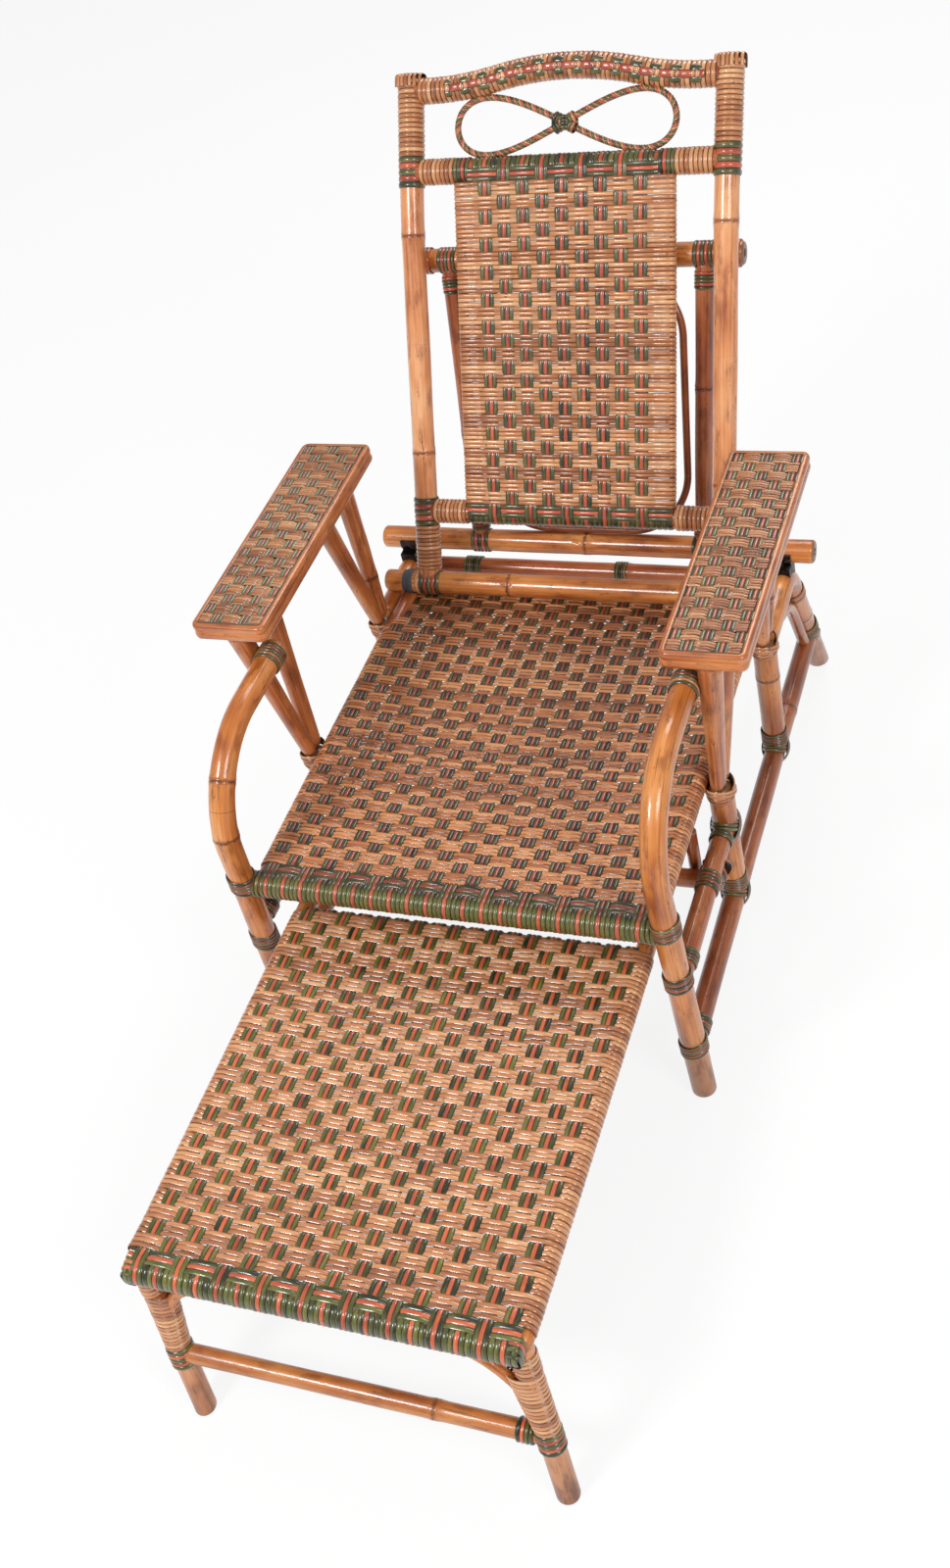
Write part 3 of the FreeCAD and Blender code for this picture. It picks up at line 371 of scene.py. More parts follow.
def bamboo_finish(name, *colours):
    """Old varnished bamboo: streaks along the grain, brown node rings, specks."""
    f = Finish(name)
    colours = tints(*colours)
    dark, stain = dimmed(colours[0], 0.22, 0.18, 0.16), dimmed(colours[0], 0.62, 0.5, 0.4)
    grain = f.grain()
    streaks = f.noise(grain, 300, 6, 3)
    clouds = f.noise(grain, 30, 10, 3)
    blotches = f.noise(grain, 70, 24, 3)
    pits = f.noise(grain, 520, 150).within(0.64, 0.70)
    scratches = f.noise(grain, 640, 13).within(0.63, 0.70)
    colour = f.shades(streaks * 0.55 + clouds * 0.85 - 0.2, colours, (0.25, 0.5, 0.76))
    colour = f.mixed(blotches.within(0.5, 0.72) * 0.55, colour, stain)
    colour = f.mixed(pits * blotches.within(0.45, 0.6) * 0.8, colour, dark)
    colour = f.mixed(scratches * clouds.within(0.42, 0.6) * 0.6, colour, dark)
    broken = f.noise(grain, 170, 170)
    near = (f.mark("joint") + broken * 0.004 - 0.002).size()
    band = near.within(0.0045, 0.0015) * (0.35 + broken * 0.6)
    ring = near.within(0.0013, 0.0004) * broken.within(0.36, 0.52)
    colour = f.mixed(ring * 0.8, f.mixed(band, colour, stain), dark)
    foot = f.part(f.place(), "Z").within(0.15, 0.02) * (0.45 + blotches * 0.6)
    colour = f.mixed(foot, colour, f.mixed(blotches.within(0.35, 0.7), *WORN_FOOT))
    cut = f.mark("cut")
    fibres = f.noise(grain, 1600, 40, 1)
    colour = f.mixed(cut, colour, f.mixed(fibres, *CUT_END))
    roughness = 0.24 + streaks * 0.16 + ring * 0.2 + cut * 0.3 + pits * 0.2 + foot * 0.2
    relief = streaks * 0.4 - scratches * 0.5 - pits * 0.7
    return f.finished(colour, roughness, relief, 0.0003, {"Coat Weight": 0.55, "Coat Roughness": 0.12})


bamboo = bamboo_finish("bamboo_orange", (150, 72, 26), (208, 124, 56), (234, 162, 92))
LEG_RADIUS = 0.017
FRONT = -0.006
BOW_HALF, BOW_RISE, BOW_BEND, BOW_REACH = 0.301, 0.389, 0.136, 0.112
BOW_LEAN = math.radians(1.8)
bows = {}
for side, sign in SIDES.items():
    rise = np.array([-sign * math.sin(BOW_LEAN), 0, math.cos(BOW_LEAN)])
    steps = [("run", BOW_RISE), ("bend", BOW_BEND, 90), ("run", BOW_REACH)]
    centre = bent_line(spot(sign * BOW_HALF, FRONT, 0), rise, Y, steps)
    bows[side] = Line(centre, np.array([math.cos(BOW_LEAN), 0, sign * math.sin(BOW_LEAN)]))
    nodes = (0.492, 0.415) if side == "left" else ()
    bar("bow_leg_pole_" + side, "bow_leg_" + side, bows[side], LEG_RADIUS, bamboo,
        nodes=nodes, sawn=(True, False), foot=0)

# ---- Stretchers, posts and slide rails ----
# Each side has a lower stretcher from the front leg to the rear leg, two posts
# that stand on it, and a slide rail below the seat. Their ends are cut hollow
# to fit the pole they meet, so they are drawn into it.
HALF = 0.297
LOW, SLIDE_HEIGHT, FORK_HEIGHT = 0.1, 0.238, 0.315
STRETCHER_RADIUS, SLIDE_RADIUS = 0.015, 0.014
STRETCHER_REAR = 0.805
POST_BACKS = {"front": 0.257, "rear": 0.542}
umber = bamboo_finish("bamboo_umber", (120, 52, 22), (174, 92, 46), (206, 130, 78))
stretchers, posts, slides = {}, {}, {}
for side, sign in SIDES.items():
    x = sign * HALF
    line = stretchers[side] = straight(spot(x, FRONT, LOW), spot(x, STRETCHER_REAR, LOW))
    nodes = (0.63,) if sign > 0 else (0.3, 0.62)
    node = "lower_stretcher_"
    bar(node + "pole_" + side, node + side, line, STRETCHER_RADIUS, umber, nodes=nodes)
    for name, back in POST_BACKS.items():
        line = posts[name, side] = straight(spot(x, back, LOW), spot(x, back, FORK_HEIGHT))
        node = "%s_post_%s" % (name, side)
        bar(node + "_pole", node, line, LEG_RADIUS, bamboo, nodes=() if name == "front" else (0.15,))
    line = straight(spot(x, FRONT, SLIDE_HEIGHT), spot(x, POST_BACKS["front"], SLIDE_HEIGHT))
    slides[side] = line
    nodes = (0.15,) if sign < 0 else ()
    bar("slide_rail_pole_" + side, "slide_rail_" + side, line, SLIDE_RADIUS, umber, nodes=nodes)

# ---- Rear legs and their braces ----
# Each rear leg leaves the rear post level and is bent sharply down and back to
# the floor. A thin curved cane is set in the corner in front of it.
HOOP_HEIGHT, REAR_FOOT = 0.308, 0.855
LEG_DOWN = unit(np.array([0, 0.154, -0.308]))
LEG_AHEAD = np.cross(LEG_DOWN, X)
REAR_STEPS = [("run", 0.1219), ("bend", 0.060, 63.43), ("run", 0.3073)]
BRACE_STEPS = [("run", 0.124), ("bend", 0.110, 44), ("run", 0.036)]
BRACE_RADIUS, BRACE_UP, BRACE_AHEAD = 0.009, 0.130, 0.0264
rear_legs, braces = {}, []
for side, sign in SIDES.items():
    x = sign * HALF
    start = spot(x, POST_BACKS["rear"], HOOP_HEIGHT)
    line = rear_legs[side] = Line(bent_line(start, Y, -Z, REAR_STEPS), X)
    bar("rear_leg_pole_" + side, "rear_leg_" + side, line, LEG_RADIUS, bamboo,
        nodes=(0.3,) if sign > 0 else (0.4,), sawn=(False, True), foot=1)
    low = spot(x, REAR_FOOT, 0) - LEG_DOWN * BRACE_UP + LEG_AHEAD * BRACE_AHEAD
    line = Line(bent_line(low, -LEG_DOWN, LEG_AHEAD, BRACE_STEPS), X)
    braces.append(pole(line, BRACE_RADIUS, around=18))
piece("rear_leg_brace_canes", braces, umber, "base", ["rear_leg_braces"])

# ---- Forks under the armrests ----
# The upper half of each post is split down the middle, and the two tapered
# halves are spread until they reach the armrest, with a dark gap between them.
ARM_UNDERSIDE, ARM_PEG = 0.572, 0.002
FORK_LOW, FORK_HIGH, FORK_GAP = 0.0105, 0.016, 0.015
FORK_RADIUS = (FORK_LOW + FORK_HIGH) / 2
FORK_TOPS = {"front": (0.218, 0.306), "rear": (0.490, 0.584)}
FORK_TOP_HALF = 0.320
honey = bamboo_finish("bamboo_honey", (130, 60, 26), (194, 112, 58), (224, 150, 88))
fork_arms = {}
for side, sign in SIDES.items():
    for name, back in POST_BACKS.items():
        arms = []
        for number, top in enumerate(FORK_TOPS[name]):
            start = spot(sign * HALF, back + (number - 0.5) * FORK_GAP, FORK_HEIGHT)
            line = straight(start, spot(sign * FORK_TOP_HALF, top, ARM_UNDERSIDE + ARM_PEG))
            fork_arms[name, side, number] = line
            nodes = (0.072,) if (name, number) == ("rear", 1) else ()
            arms.append(pole(line, FORK_RADIUS, nodes, taper=(FORK_HIGH - FORK_LOW) / FORK_RADIUS))
        node = "%s_fork_arms_%s" % (name, side)
        piece(node + "_split", arms, honey, "base", [node])

# ---- Seat rails, pivot bar and the bars below ----
# The back turns on the pivot bar, and the slide crossbar under the seat holds
# up the footrest. The side rails are hidden in the seat's weave.
PIVOT_HALF, PIVOT_BACK, PIVOT_HEIGHT = 0.300, 0.603, 0.343
CROSSBAR_HALF, CROSSBAR_BACK, CROSSBAR_HEIGHT, CROSSBAR_RADIUS = 0.306, 0.185, 0.204, 0.013
REAR_RAIL_BACK, REAR_RAIL_HEIGHT = 0.700, 0.297
SEAT_RAIL, SEAT_HALF, SEAT_BACK, SEAT_SIDE_BACK = 0.318, 0.265, 0.594, 0.598
SEAT_REAR_HEIGHT, SEAT_SIDE_RADIUS, SEAT_REAR_RADIUS = 0.309, 0.0138, 0.0098
PIVOT = spot(0, PIVOT_BACK, PIVOT_HEIGHT)


def across(half, back, height):
    """Level line across the chair."""
    return straight(spot(-half, back, height), spot(half, back, height), Y)


pivot_line = across(PIVOT_HALF, PIVOT_BACK, PIVOT_HEIGHT)
shape = {"nodes": (0.202, 0.47), "sawn": (True, True)}
bar("pivot_bar_pole", "pivot_bar", pivot_line, LEG_RADIUS, bamboo, **shape)
line = across(CROSSBAR_HALF, CROSSBAR_BACK, CROSSBAR_HEIGHT)
shape["nodes"] = (0.21,)
bar("slide_crossbar_pole", "slide_crossbar", line, CROSSBAR_RADIUS, umber, **shape)
rear_line = across(HALF, REAR_RAIL_BACK, REAR_RAIL_HEIGHT)
bar("rear_cross_rail_pole", "rear_cross_rail", rear_line, SLIDE_RADIUS, umber, nodes=(0.35,))
for side, sign in SIDES.items():
    x = sign * SEAT_HALF
    line = straight(spot(x, 0, SEAT_RAIL), spot(x, SEAT_SIDE_BACK, SEAT_RAIL))
    bar("seat_side_pole_" + side, "seat_side_rail_" + side, line, SEAT_SIDE_RADIUS, umber, nodes=(0.3,))
line = across(SEAT_HALF, SEAT_BACK, SEAT_REAR_HEIGHT)
bar("seat_rear_pole", "seat_rear_rail", line, SEAT_REAR_RADIUS, umber, nodes=(0.3,), around=18)

# ---- Iron hooks ----
# A bent strip of black iron on each rear leg, open at the top and rear, which
# the lower bar of the prop drops into. The plain solid is right as it is.
def iron_finish():
    """Old black iron: fine pits, and brown rust in patches."""
    f = Finish("black_iron")
    place = f.place()
    rust = f.noise(place, 90, 90, 4).within(0.52, 0.68)
    colour = f.mixed(rust * 0.7, (0.028, 0.026, 0.025), (0.12, 0.05, 0.025))
    roughness, gloss = 0.38 + rust * 0.35, {"Metallic": 0.9 - rust * 0.6}
    return f.finished(colour, roughness, f.noise(place, 900, 900), 0.0003, gloss)


hook_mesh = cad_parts["prop_hooks"].data
hook_mesh.materials.clear()
hook_mesh.materials.append(iron_finish())

# ---- Seat weave ----
# Flat strands of rattan skin, three to a group, woven over and under one. The
# lengthwise groups are dyed green, red and green; the crosswise ones are bare.
# Every strand goes on round the rail at its end and back beneath the seat.
SECTION = np.array([(0.5, -0.1), (0.33, 0.32), (0, 0.5), (-0.33, 0.32), (-0.5, -0.1), (0, -0.42)])
# How deep the painted shade is at each corner of a strand: full at its edges and underside, none on top.
SECTION_CREASE_SHADE = np.array([1, 0.66, 0, 0.66, 1, 1])
STRAND_DEPTH, STRAND_LIFT, TRIPLE_LIFT, UNDER = 0.0022, 0.0012, 0.0008, 0.001
BARE, GREEN, RED = 0.0, 1.0, 2.0
TRIPLE = [GREEN, RED, GREEN]


def canes(points, normals, width, dyes, depth=STRAND_DEPTH, loop=False):
    """Cane strands along rows of points, flat below and rounded on top.

    The section's corners are laid out along the side, normal x heading, and
    along the normal. Each strand gets its own tone and stretch of grain.
    """
    if loop:
        ahead = unit(np.roll(points, -1, axis=1) - np.roll(points, 1, axis=1))
    else:
        ahead = unit(np.gradient(points, axis=1))
    normals = unit(normals - (normals * ahead).sum(-1, keepdims=True) * ahead)
    sides = np.cross(normals, ahead)
    wide = np.broadcast_to(np.asarray(width, float), points.shape[:2])[..., None]
    flat, high = SECTION[:, 0] * wide, SECTION[:, 1] * depth + 0 * wide
    grid = points[:, :, None] + flat[..., None] * sides[:, :, None]
    grid = grid + high[..., None] * normals[:, :, None]
    steps = np.linalg.norm(np.diff(points, axis=1), axis=2)
    lengths = np.cumsum(np.pad(steps, ((0, 0), (1, 0))), axis=1)
    tone = chance.uniform(0, 1, len(points))
    lengths = lengths + 7 * tone[:, None]
    # The edge mark tells the finish where to paint shade on each strand.
    marks = {"grain": np.stack([flat, high, lengths[..., None] + 0 * flat], -1), "edge": SECTION_CREASE_SHADE}
    marks["dye"] = np.broadcast_to(dyes, len(points))[:, None, None]
    marks["tone"] = tone[:, None, None]
    return solid(grid, marks, loop)


class Outline:
    """Side view of a woven panel: a run, and a bend round a rail at each end.

    A rail is its place along the run, its height, its radius and how far round
    it the strands go, in degrees: place + r sin(t), height + r cos(t). Between
    the rails the run keeps one level, and eases into each bend over a ramp.
    """

    def __init__(self, first, last, level=None, ramps=(0.03, 0.03)):
        (u0, v0, r0, degrees0), (u1, v1, r1, degrees1) = first, last
        t0, t1 = (np.linspace(0, math.radians(d), int(d / 9) + 1) for d in (degrees0, degrees1))
        run = np.linspace(u0, u1, 120)[1:-1]
        top0, top1 = v0 + r0, v1 + r1
        if level is None:
            height = np.interp(run, [u0, u1], [top0, top1])
        else:
            ease = [np.clip(1 - d / ramp, 0, 1) for d, ramp in zip((run - u0, u1 - run), ramps)]
            ease = [e * e * (3 - 2 * e) for e in ease]
            height = level + (top0 - level) * ease[0] + (top1 - level) * ease[1]
        self.u = np.concatenate([u0 - r0 * np.sin(t0[::-1]), run, u1 + r1 * np.sin(t1)])
        self.v = np.concatenate([v0 + r0 * np.cos(t0[::-1]), height, v1 + r1 * np.cos(t1)])
        steps = np.hypot(np.diff(self.u), np.diff(self.v))
        lengths = np.concatenate([[0], np.cumsum(steps)])
        self.lengths = lengths - lengths[len(t0)] + self.u[len(t0)]
        self.run = (self.lengths[len(t0) - 1], self.lengths[-len(t1)])
        slope = unit(np.stack([np.gradient(self.u, lengths), np.gradient(self.v, lengths)], -1))
        self.normal = np.stack([-slope[:, 1], slope[:, 0]], -1)

    def at(self, length):
        """Place, height and the two parts of the normal at lengths along it."""
        rows = (self.u, self.v, self.normal[:, 0], self.normal[:, 1])
        return [np.interp(length, self.lengths, row) for row in rows]

    def samples(self, step, bend_step=0.0038):
        """Lengths in even steps on the run and in others round the bends."""
        (low, high), first, last = self.run, self.lengths[0], self.lengths[-1]
        parts = [np.linspace(low, high, int(round((high - low) / step)) + 1)]
        parts.append(np.linspace(first, low, max(2, int((low - first) / bend_step)) + 1)[:-1])
        parts.append(np.linspace(high, last, max(2, int((last - high) / bend_step)) + 1)[1:])
        return np.unique(np.concatenate(parts))


class Panel:
    """Where a woven panel lies: its own length, its face, and two outlines.

    It also knows the places of its columns, where its first row starts, and
    how far apart the rows are.
    """

    def __init__(self, origin, ahead, out, wide, long, sag, columns, first, pitch):
        self.origin, self.ahead, self.out = origin, ahead, out
        self.wide, self.long, self.sag = wide, long, sag
        self.columns, self.first, self.pitch = columns, first, pitch

    def laid(self, a, b, height):
        """Points and normals at crosswise length a and lengthwise length b.

        The outlines are bent one after the other, and the height is measured
        along the normal. The sag is a dish, (1 - x^2)(1 - y^2) of its depth.
        """
        a, b, height = np.broadcast_arrays(a, b, height)
        x, drop, turn_x, keep_x = self.wide.at(a)
        y, level, turn_y, keep_y = self.long.at(b)
        out = turn_y[..., None] * self.ahead + keep_y[..., None] * self.out
        normal = turn_x[..., None] * X + keep_x[..., None] * out
        (x0, x1), (y0, y1) = self.wide.run, self.long.run
        dish_x = np.clip(1 - ((2 * x - x0 - x1) / (x1 - x0)) ** 2, 0, 1)
        dish_y = np.clip(1 - ((2 * y - y0 - y1) / (y1 - y0)) ** 2, 0, 1)
        points = self.origin + x[..., None] * X + y[..., None] * self.ahead
        points = points + level[..., None] * self.out + drop[..., None] * out
        return points + (height - self.sag * dish_x * dish_y)[..., None] * normal, normal


def wave(phase, hard):
    """Over and under, from 1 to -1: tanh(hard cos(pi phase)) over tanh(hard)."""
    return np.tanh(hard * np.cos(math.pi * phase)) / math.tanh(hard)


def crosswise(panel, rows, group=3, lift=STRAND_LIFT, fine=6, dyes=BARE, half=None):
    """Groups of strands across a panel, over and under its columns.

    The height is the lift times a wave that turns about from one column to the
    next and from one row to the next, and fades out past the last column.
    """
    spacing = panel.columns[1] - panel.columns[0]
    a = panel.wide.samples(spacing / fine)
    if half:
        a = np.linspace(-half, half, int(2 * half / spacing * fine))
    width = panel.pitch / group
    row = np.repeat(rows, group)
    place = np.tile(np.arange(group) - (group - 1) / 2, len(rows)) * width
    b = panel.first + (row + 0.5) * panel.pitch + place + chance.normal(0, 0.0002, len(row))
    number = (a - panel.columns[0]) / spacing
    edge = np.clip((np.abs(a) - abs(panel.columns[-1]) - spacing / 2) / 0.008, 0, 1)
    over = wave(number + row[:, None] + 1, 2.6) * (1 - edge)
    sway = 0.0003 * np.sin(a / 0.029 + chance.uniform(0, 6, (len(row), 1)))
    height = lift * over + chance.normal(0, 0.0001, (len(row), 1))
    points, normals = panel.laid(a[None], b[:, None] + sway * (1 - edge), height)
    return canes(points, normals, width * 0.98, dyes)


def weft(name, panel, rows, dyed, finish, body, node):
    """The bare crosswise groups as one piece, with dyed ones at other rows."""
    groups = [crosswise(panel, rows)]
    for row, half in dyed:
        groups.append(crosswise(panel, np.array([row]), dyes=np.array(TRIPLE), half=half))
    piece(name + "_crosswise_strands", groups, finish, body, [node])


def lengthwise(panel, rows, width, lift=TRIPLE_LIFT, fine=6):
    """Triple strands along a panel, green, red and green, over and under.

    The height is the lift times a wave that turns about from row to row, and
    settles past the last rows. A triple pinches in a little where it dives.
    """
    b = panel.long.samples(panel.pitch / fine)[1:-1]
    column = np.repeat(np.arange(len(panel.columns)), 3)
    place = np.tile([-1.0, 0.0, 1.0], len(panel.columns)) * width
    number = (b - panel.first) / panel.pitch - 0.5
    low, high = panel.first + rows[0] * panel.pitch, panel.first + (rows[-1] + 1) * panel.pitch
    outside = np.clip(np.maximum(low - b, b - high) / 0.006, 0, 1)
    over = wave(number + column[:, None], 4.0)
    height = lift * (over * (1 - outside)) + chance.normal(0, 0.0001, (len(column), 1))
    pinch = 1 - 0.13 * (1 - over**2) * (1 - outside)
    sway = 0.0004 * np.sin(b / 0.05 + chance.uniform(0, 6, (len(panel.columns), 1)))[column]
    x = panel.columns[column][:, None] + place[:, None] * pinch + sway * (1 - outside)
    points, normals = panel.laid(x, b[None], height)
    return canes(points, normals, width * 0.97, np.tile(TRIPLE, len(panel.columns)))


def fillers(panel, places, width, row, way=1):
    """Green strands between the triples, which only go round the rail at one end.

    They start under the crosswise strands next to a row, and way says to which
    side of it they go.
    """
    start = panel.first + row * panel.pitch - way * 0.004
    b = panel.long.samples(0.004)
    b = b[(b - start) * way > 0]
    tuck = np.clip(1 - np.abs(b - start) / 0.006, 0, 1)
    points, normals = panel.laid(places[:, None], b[None], -0.0004 - 0.0016 * tuck[None])
    return canes(points, normals, width * 0.97, GREEN)


# Brighter dye colours for the seat's roll.
ROLL_GREEN, ROLL_RED = tints((112, 118, 52), (214, 108, 72))
GREEN_SHADOW = (0.018, 0.017, 0.010)


def cane_finish(name, bare, green, red, varnish=0.5, wear=0.5, bright_roll=False):
    """Varnished rattan skin: fibres, dye worn thin, dark nodes, stains, and painted shade in the creases.

    The roll option makes the dyes brighter in front of the seat's front rail.
    """
    f = Finish(name)
    deep, middle, pale = tints(*bare)
    grain, place = f.grain(), f.place()
    tone, dye = f.mark("tone"), f.mark("dye")
    fibres = f.noise(grain, 1500, 22)
    patches = f.noise(grain, 120, 30, 3)
    stains = f.noise(place, 16, 16, 4)
    # This noise drives dirt and worn dye, and also varies the painted shade in the creases.
    grime_and_shade = f.noise(place, 130, 130, 3)
    shade = fibres * 0.32 + patches * 0.36 + tone * 0.34 + stains * 0.28 - 0.18
    natural = f.shades(shade, (deep, middle, pale), (0.2, 0.45, 0.72))
    cycle = (f.part(grain, "Z") * 4.3 + tone * 3.0 + f.noise(grain, 1, 3.4, 0)).math("FRACT") - 0.5
    joint = cycle.size().within(0.009, 0.004)
    natural = f.mixed(joint * patches.within(0.4, 0.6) * 0.6, natural, dimmed(deep, 0.3))
    thin = (fibres * 0.5 + patches * 0.5 + grime_and_shade * 0.25).within(0.62, 0.86) * wear
    greens = f.mixed(patches * 2.2 + tone * 0.7 - 0.95, *tints(*green))
    reds = f.mixed(patches * 1.8 + tone * 0.6 - 0.6, *tints(*red))
    if bright_roll:
        # In front of the front rail, on the roll, the dyes blend in patches to brighter colours.
        on_roll = f.part(place, "Y").within(-0.186, -0.194) * (0.3 + patches * 0.6)
        greens = f.mixed(on_roll, greens, ROLL_GREEN)
        reds = f.mixed(on_roll, reds, ROLL_RED)
    dyed = f.mixed(thin, f.mixed((dye - 1.5).within(-0.2, 0.2), greens, reds), middle)
    colour = f.mixed(dye.within(0.3, 0.7), natural, dyed)
    dirt = grime_and_shade.within(0.56, 0.78) * stains.within(0.4, 0.6)
    colour = f.mixed(dirt * 0.35, colour, dimmed(deep, 0.2))
    # Painted shade: each strand darkens along its edges and underside, in the creases of the weave,
    # unevenly by a noise.
    shadow = f.mixed(dye.within(0.3, 0.7), dimmed(deep, 0.16), GREEN_SHADOW)
    crease_shade = f.mark("edge").within(0.62, 0.98) * (0.55 + grime_and_shade * 0.55)
    colour = f.mixed(crease_shade, colour, shadow)
    roughness = 0.26 + fibres * 0.16 + thin * 0.15 + dirt * 0.2
    relief = fibres * 0.5 - joint * 0.9 + patches * 0.2
    return f.finished(colour, roughness, relief, 0.00022, {"Coat Weight": varnish, "Coat Roughness": 0.13})


seat_cane = cane_finish(
    "seat_cane", ((118, 62, 32), (190, 116, 68), (232, 164, 106)),
    ((32, 34, 20), (80, 80, 40)), ((88, 36, 28), (162, 76, 50)), bright_roll=True,
)
SEAT_PITCH, SEAT_ROW, SEAT_FIRST, SEAT_SAG = 0.0255, 0.0188, 0.0045, 0.010
SEAT_LEVEL, TRIPLE_WIDTH = 0.333, 0.0064
FRONT_HALF, FRONT_RADIUS, END_TURNS = 0.284, 0.0155, 0.0175
ROLL = 0.014 + UNDER
seat_wide = Outline((-SEAT_HALF, SEAT_RAIL, ROLL, 215), (SEAT_HALF, SEAT_RAIL, ROLL, 215))
seat_wide.v = seat_wide.v - SEAT_RAIL - 0.014 - UNDER
rear_rail = (-0.004, SEAT_REAR_HEIGHT, 0.0112 + UNDER, 170)
front_rail = (SEAT_BACK, SEAT_RAIL, FRONT_RADIUS + UNDER, 250)
seat_long = Outline(rear_rail, front_rail, SEAT_LEVEL, ramps=(0.11, 0.05))
seat_columns = (np.arange(21) - 10) * SEAT_PITCH
seat_panel = Panel(
    spot(0, SEAT_BACK, 0), -Y, Z, seat_wide, seat_long, SEAT_SAG, seat_columns, SEAT_FIRST, SEAT_ROW
)
weft("seat", seat_panel, np.arange(-1, 30), [(30, 0.266)], seat_cane, "base", "seat_panel")
strands = [lengthwise(seat_panel, np.arange(-1, 31), TRIPLE_WIDTH)]
strands.append(fillers(seat_panel, (np.arange(20) - 9.5) * SEAT_PITCH, 0.0063, 31))
front_line = across(FRONT_HALF, 0, SEAT_RAIL)


def circle(count, side, up):
    """Directions cos(t) side + sin(t) up for t evenly round, and their cos(t)."""
    t = np.linspace(0, 2 * math.pi, count, endpoint=False)
    return np.cos(t)[:, None] * side + np.sin(t)[:, None] * up, np.cos(t)[:, None]


def turns(line, radius, first, last, width, dyes=BARE, depth=STRAND_DEPTH, lean=0.0, around=22, bulge=0.0):
    """Turns of cane side by side round a pole, each a closed ring.

    A turn is line + r (cos(t) side + sin(t) up), leaning ahead by lean cos(t).
    A bulge b, which fades to the last turn, adds b / 2 (1 + cos(t)) side; a
    negative one widens the other side. A list of dyes is repeated.
    """
    count = max(1, int(round((last - first) / width)))
    s = first + (np.arange(count) + 0.5) * (last - first) / count
    at, ahead, side, up = line.at(s + chance.normal(0, 0.00015, count))
    ring, cosine = circle(around, side[:, None], up[:, None])
    r = radius + 0.42 * depth + chance.normal(0, 0.00012, (count, 1, 1))
    points = at[:, None] + r * ring + lean * cosine * ahead[:, None]
    wider = np.linspace(bulge / 2, 0, count)[:, None, None]
    points = points + wider * (1 + math.copysign(1, bulge) * cosine) * side[:, None]
    pattern = np.resize(np.atleast_1d(dyes), count).astype(float)
    return canes(points, ring, (last - first) / count * 0.97, pattern, depth, loop=True)


for start in (0.001, FRONT_HALF + 0.2655):
    strands.append(turns(front_line, FRONT_RADIUS, start, start + END_TURNS, 0.0058, GREEN, 0.003))
piece("seat_lengthwise_strands", strands, seat_cane, "base", ["seat_panel"])
bar("front_seat_core", "front_seat_rail", front_line, 0.0153, umber, slot="wrapped_cane")

# ---- Armrests ----
# A flat board woven on both faces, held in a rim of two half-round canes laid
# one on the other, with a thin dark piping between the weave and the rim.
ARM_HALF, ARM_BACK = 0.317, 0.400
ARM_WIDE, ARM_LONG, ARM_CORNER, ARM_DEPTH = 0.109, 0.410, 0.0115, 0.025
ARM_RIM, ARM_ROW = 0.008, 0.0197
RIM_SECTION = np.array([
    (8.0, 24.0), (7.2, 24.8), (5.4, 25.0), (3.2, 24.6), (1.0, 23.2), (0.1, 20.6), (0.0, 17.6),
    (0.5, 15.0), (1.8, 13.2), (2.0, 12.6), (1.8, 12.0), (0.5, 10.2), (0.0, 7.4), (0.1, 4.6),
    (1.0, 1.9), (3.2, 0.5), (5.4, 0.1), (7.2, 0.4), (8.0, 1.4),
]) * 0.001
PIPING_SECTION = np.array([(0.0, 0.0), (0.0012, 0.0009), (0.0024, 0.0), (0.0012, -0.0009)])


def frame_line(width, length, corner, gap=0.004):
    """Rounded rectangle as points on a level plane, and its outward sides.

    A quarter circle stands at each corner, and the straight runs between them
    are divided evenly. Each point's side is the circle's or the run's own.
    """
    half = np.array([width / 2 - corner, length / 2 - corner])
    signs = np.array([(1, 1), (-1, 1), (-1, -1), (1, -1)])
    angles = np.radians(np.linspace(0, 90, 9)[None] + 90 * np.arange(4)[:, None])
    out = np.stack([np.cos(angles), np.sin(angles)], -1)
    corners = signs[:, None] * half + corner * out
    points, sides = [], []
    for number in range(4):
        start, end = corners[number][-1], corners[(number + 1) % 4][0]
        share = np.linspace(0, 1, int(np.linalg.norm(end - start) / gap) + 1)[1:-1, None]
        points += [corners[number], start + share * (end - start)]
        sides += [out[number], np.repeat(out[number][-1:], len(share), axis=0)]
    return (np.pad(np.concatenate(v), ((0, 0), (0, 1))) for v in (points, sides))


def cane_rim(place, width, length, corner, section, height):
    """Section carried round a rounded rectangle, as one closed ring.

    Each section corner is its distance in from the edge and its height.
    """
    points, away = frame_line(width, length, corner)
    lengths = np.cumsum(np.linalg.norm(np.diff(points, axis=0, append=points[:1]), axis=1))
    inward, level = section[:, 0], section[:, 1] + height
    grid = points[:, None] - away[:, None] * inward[:, None] + level[:, None] * Z + place
    grain = np.stack(np.broadcast_arrays(inward, level, lengths[:, None]), -1)
    marks = {"grain": grain[None], "joint": FAR, "cut": 0.0, "dye": GREEN, "tone": 0.3, "edge": 0.0}
    return solid(grid[None], marks, loop=True)


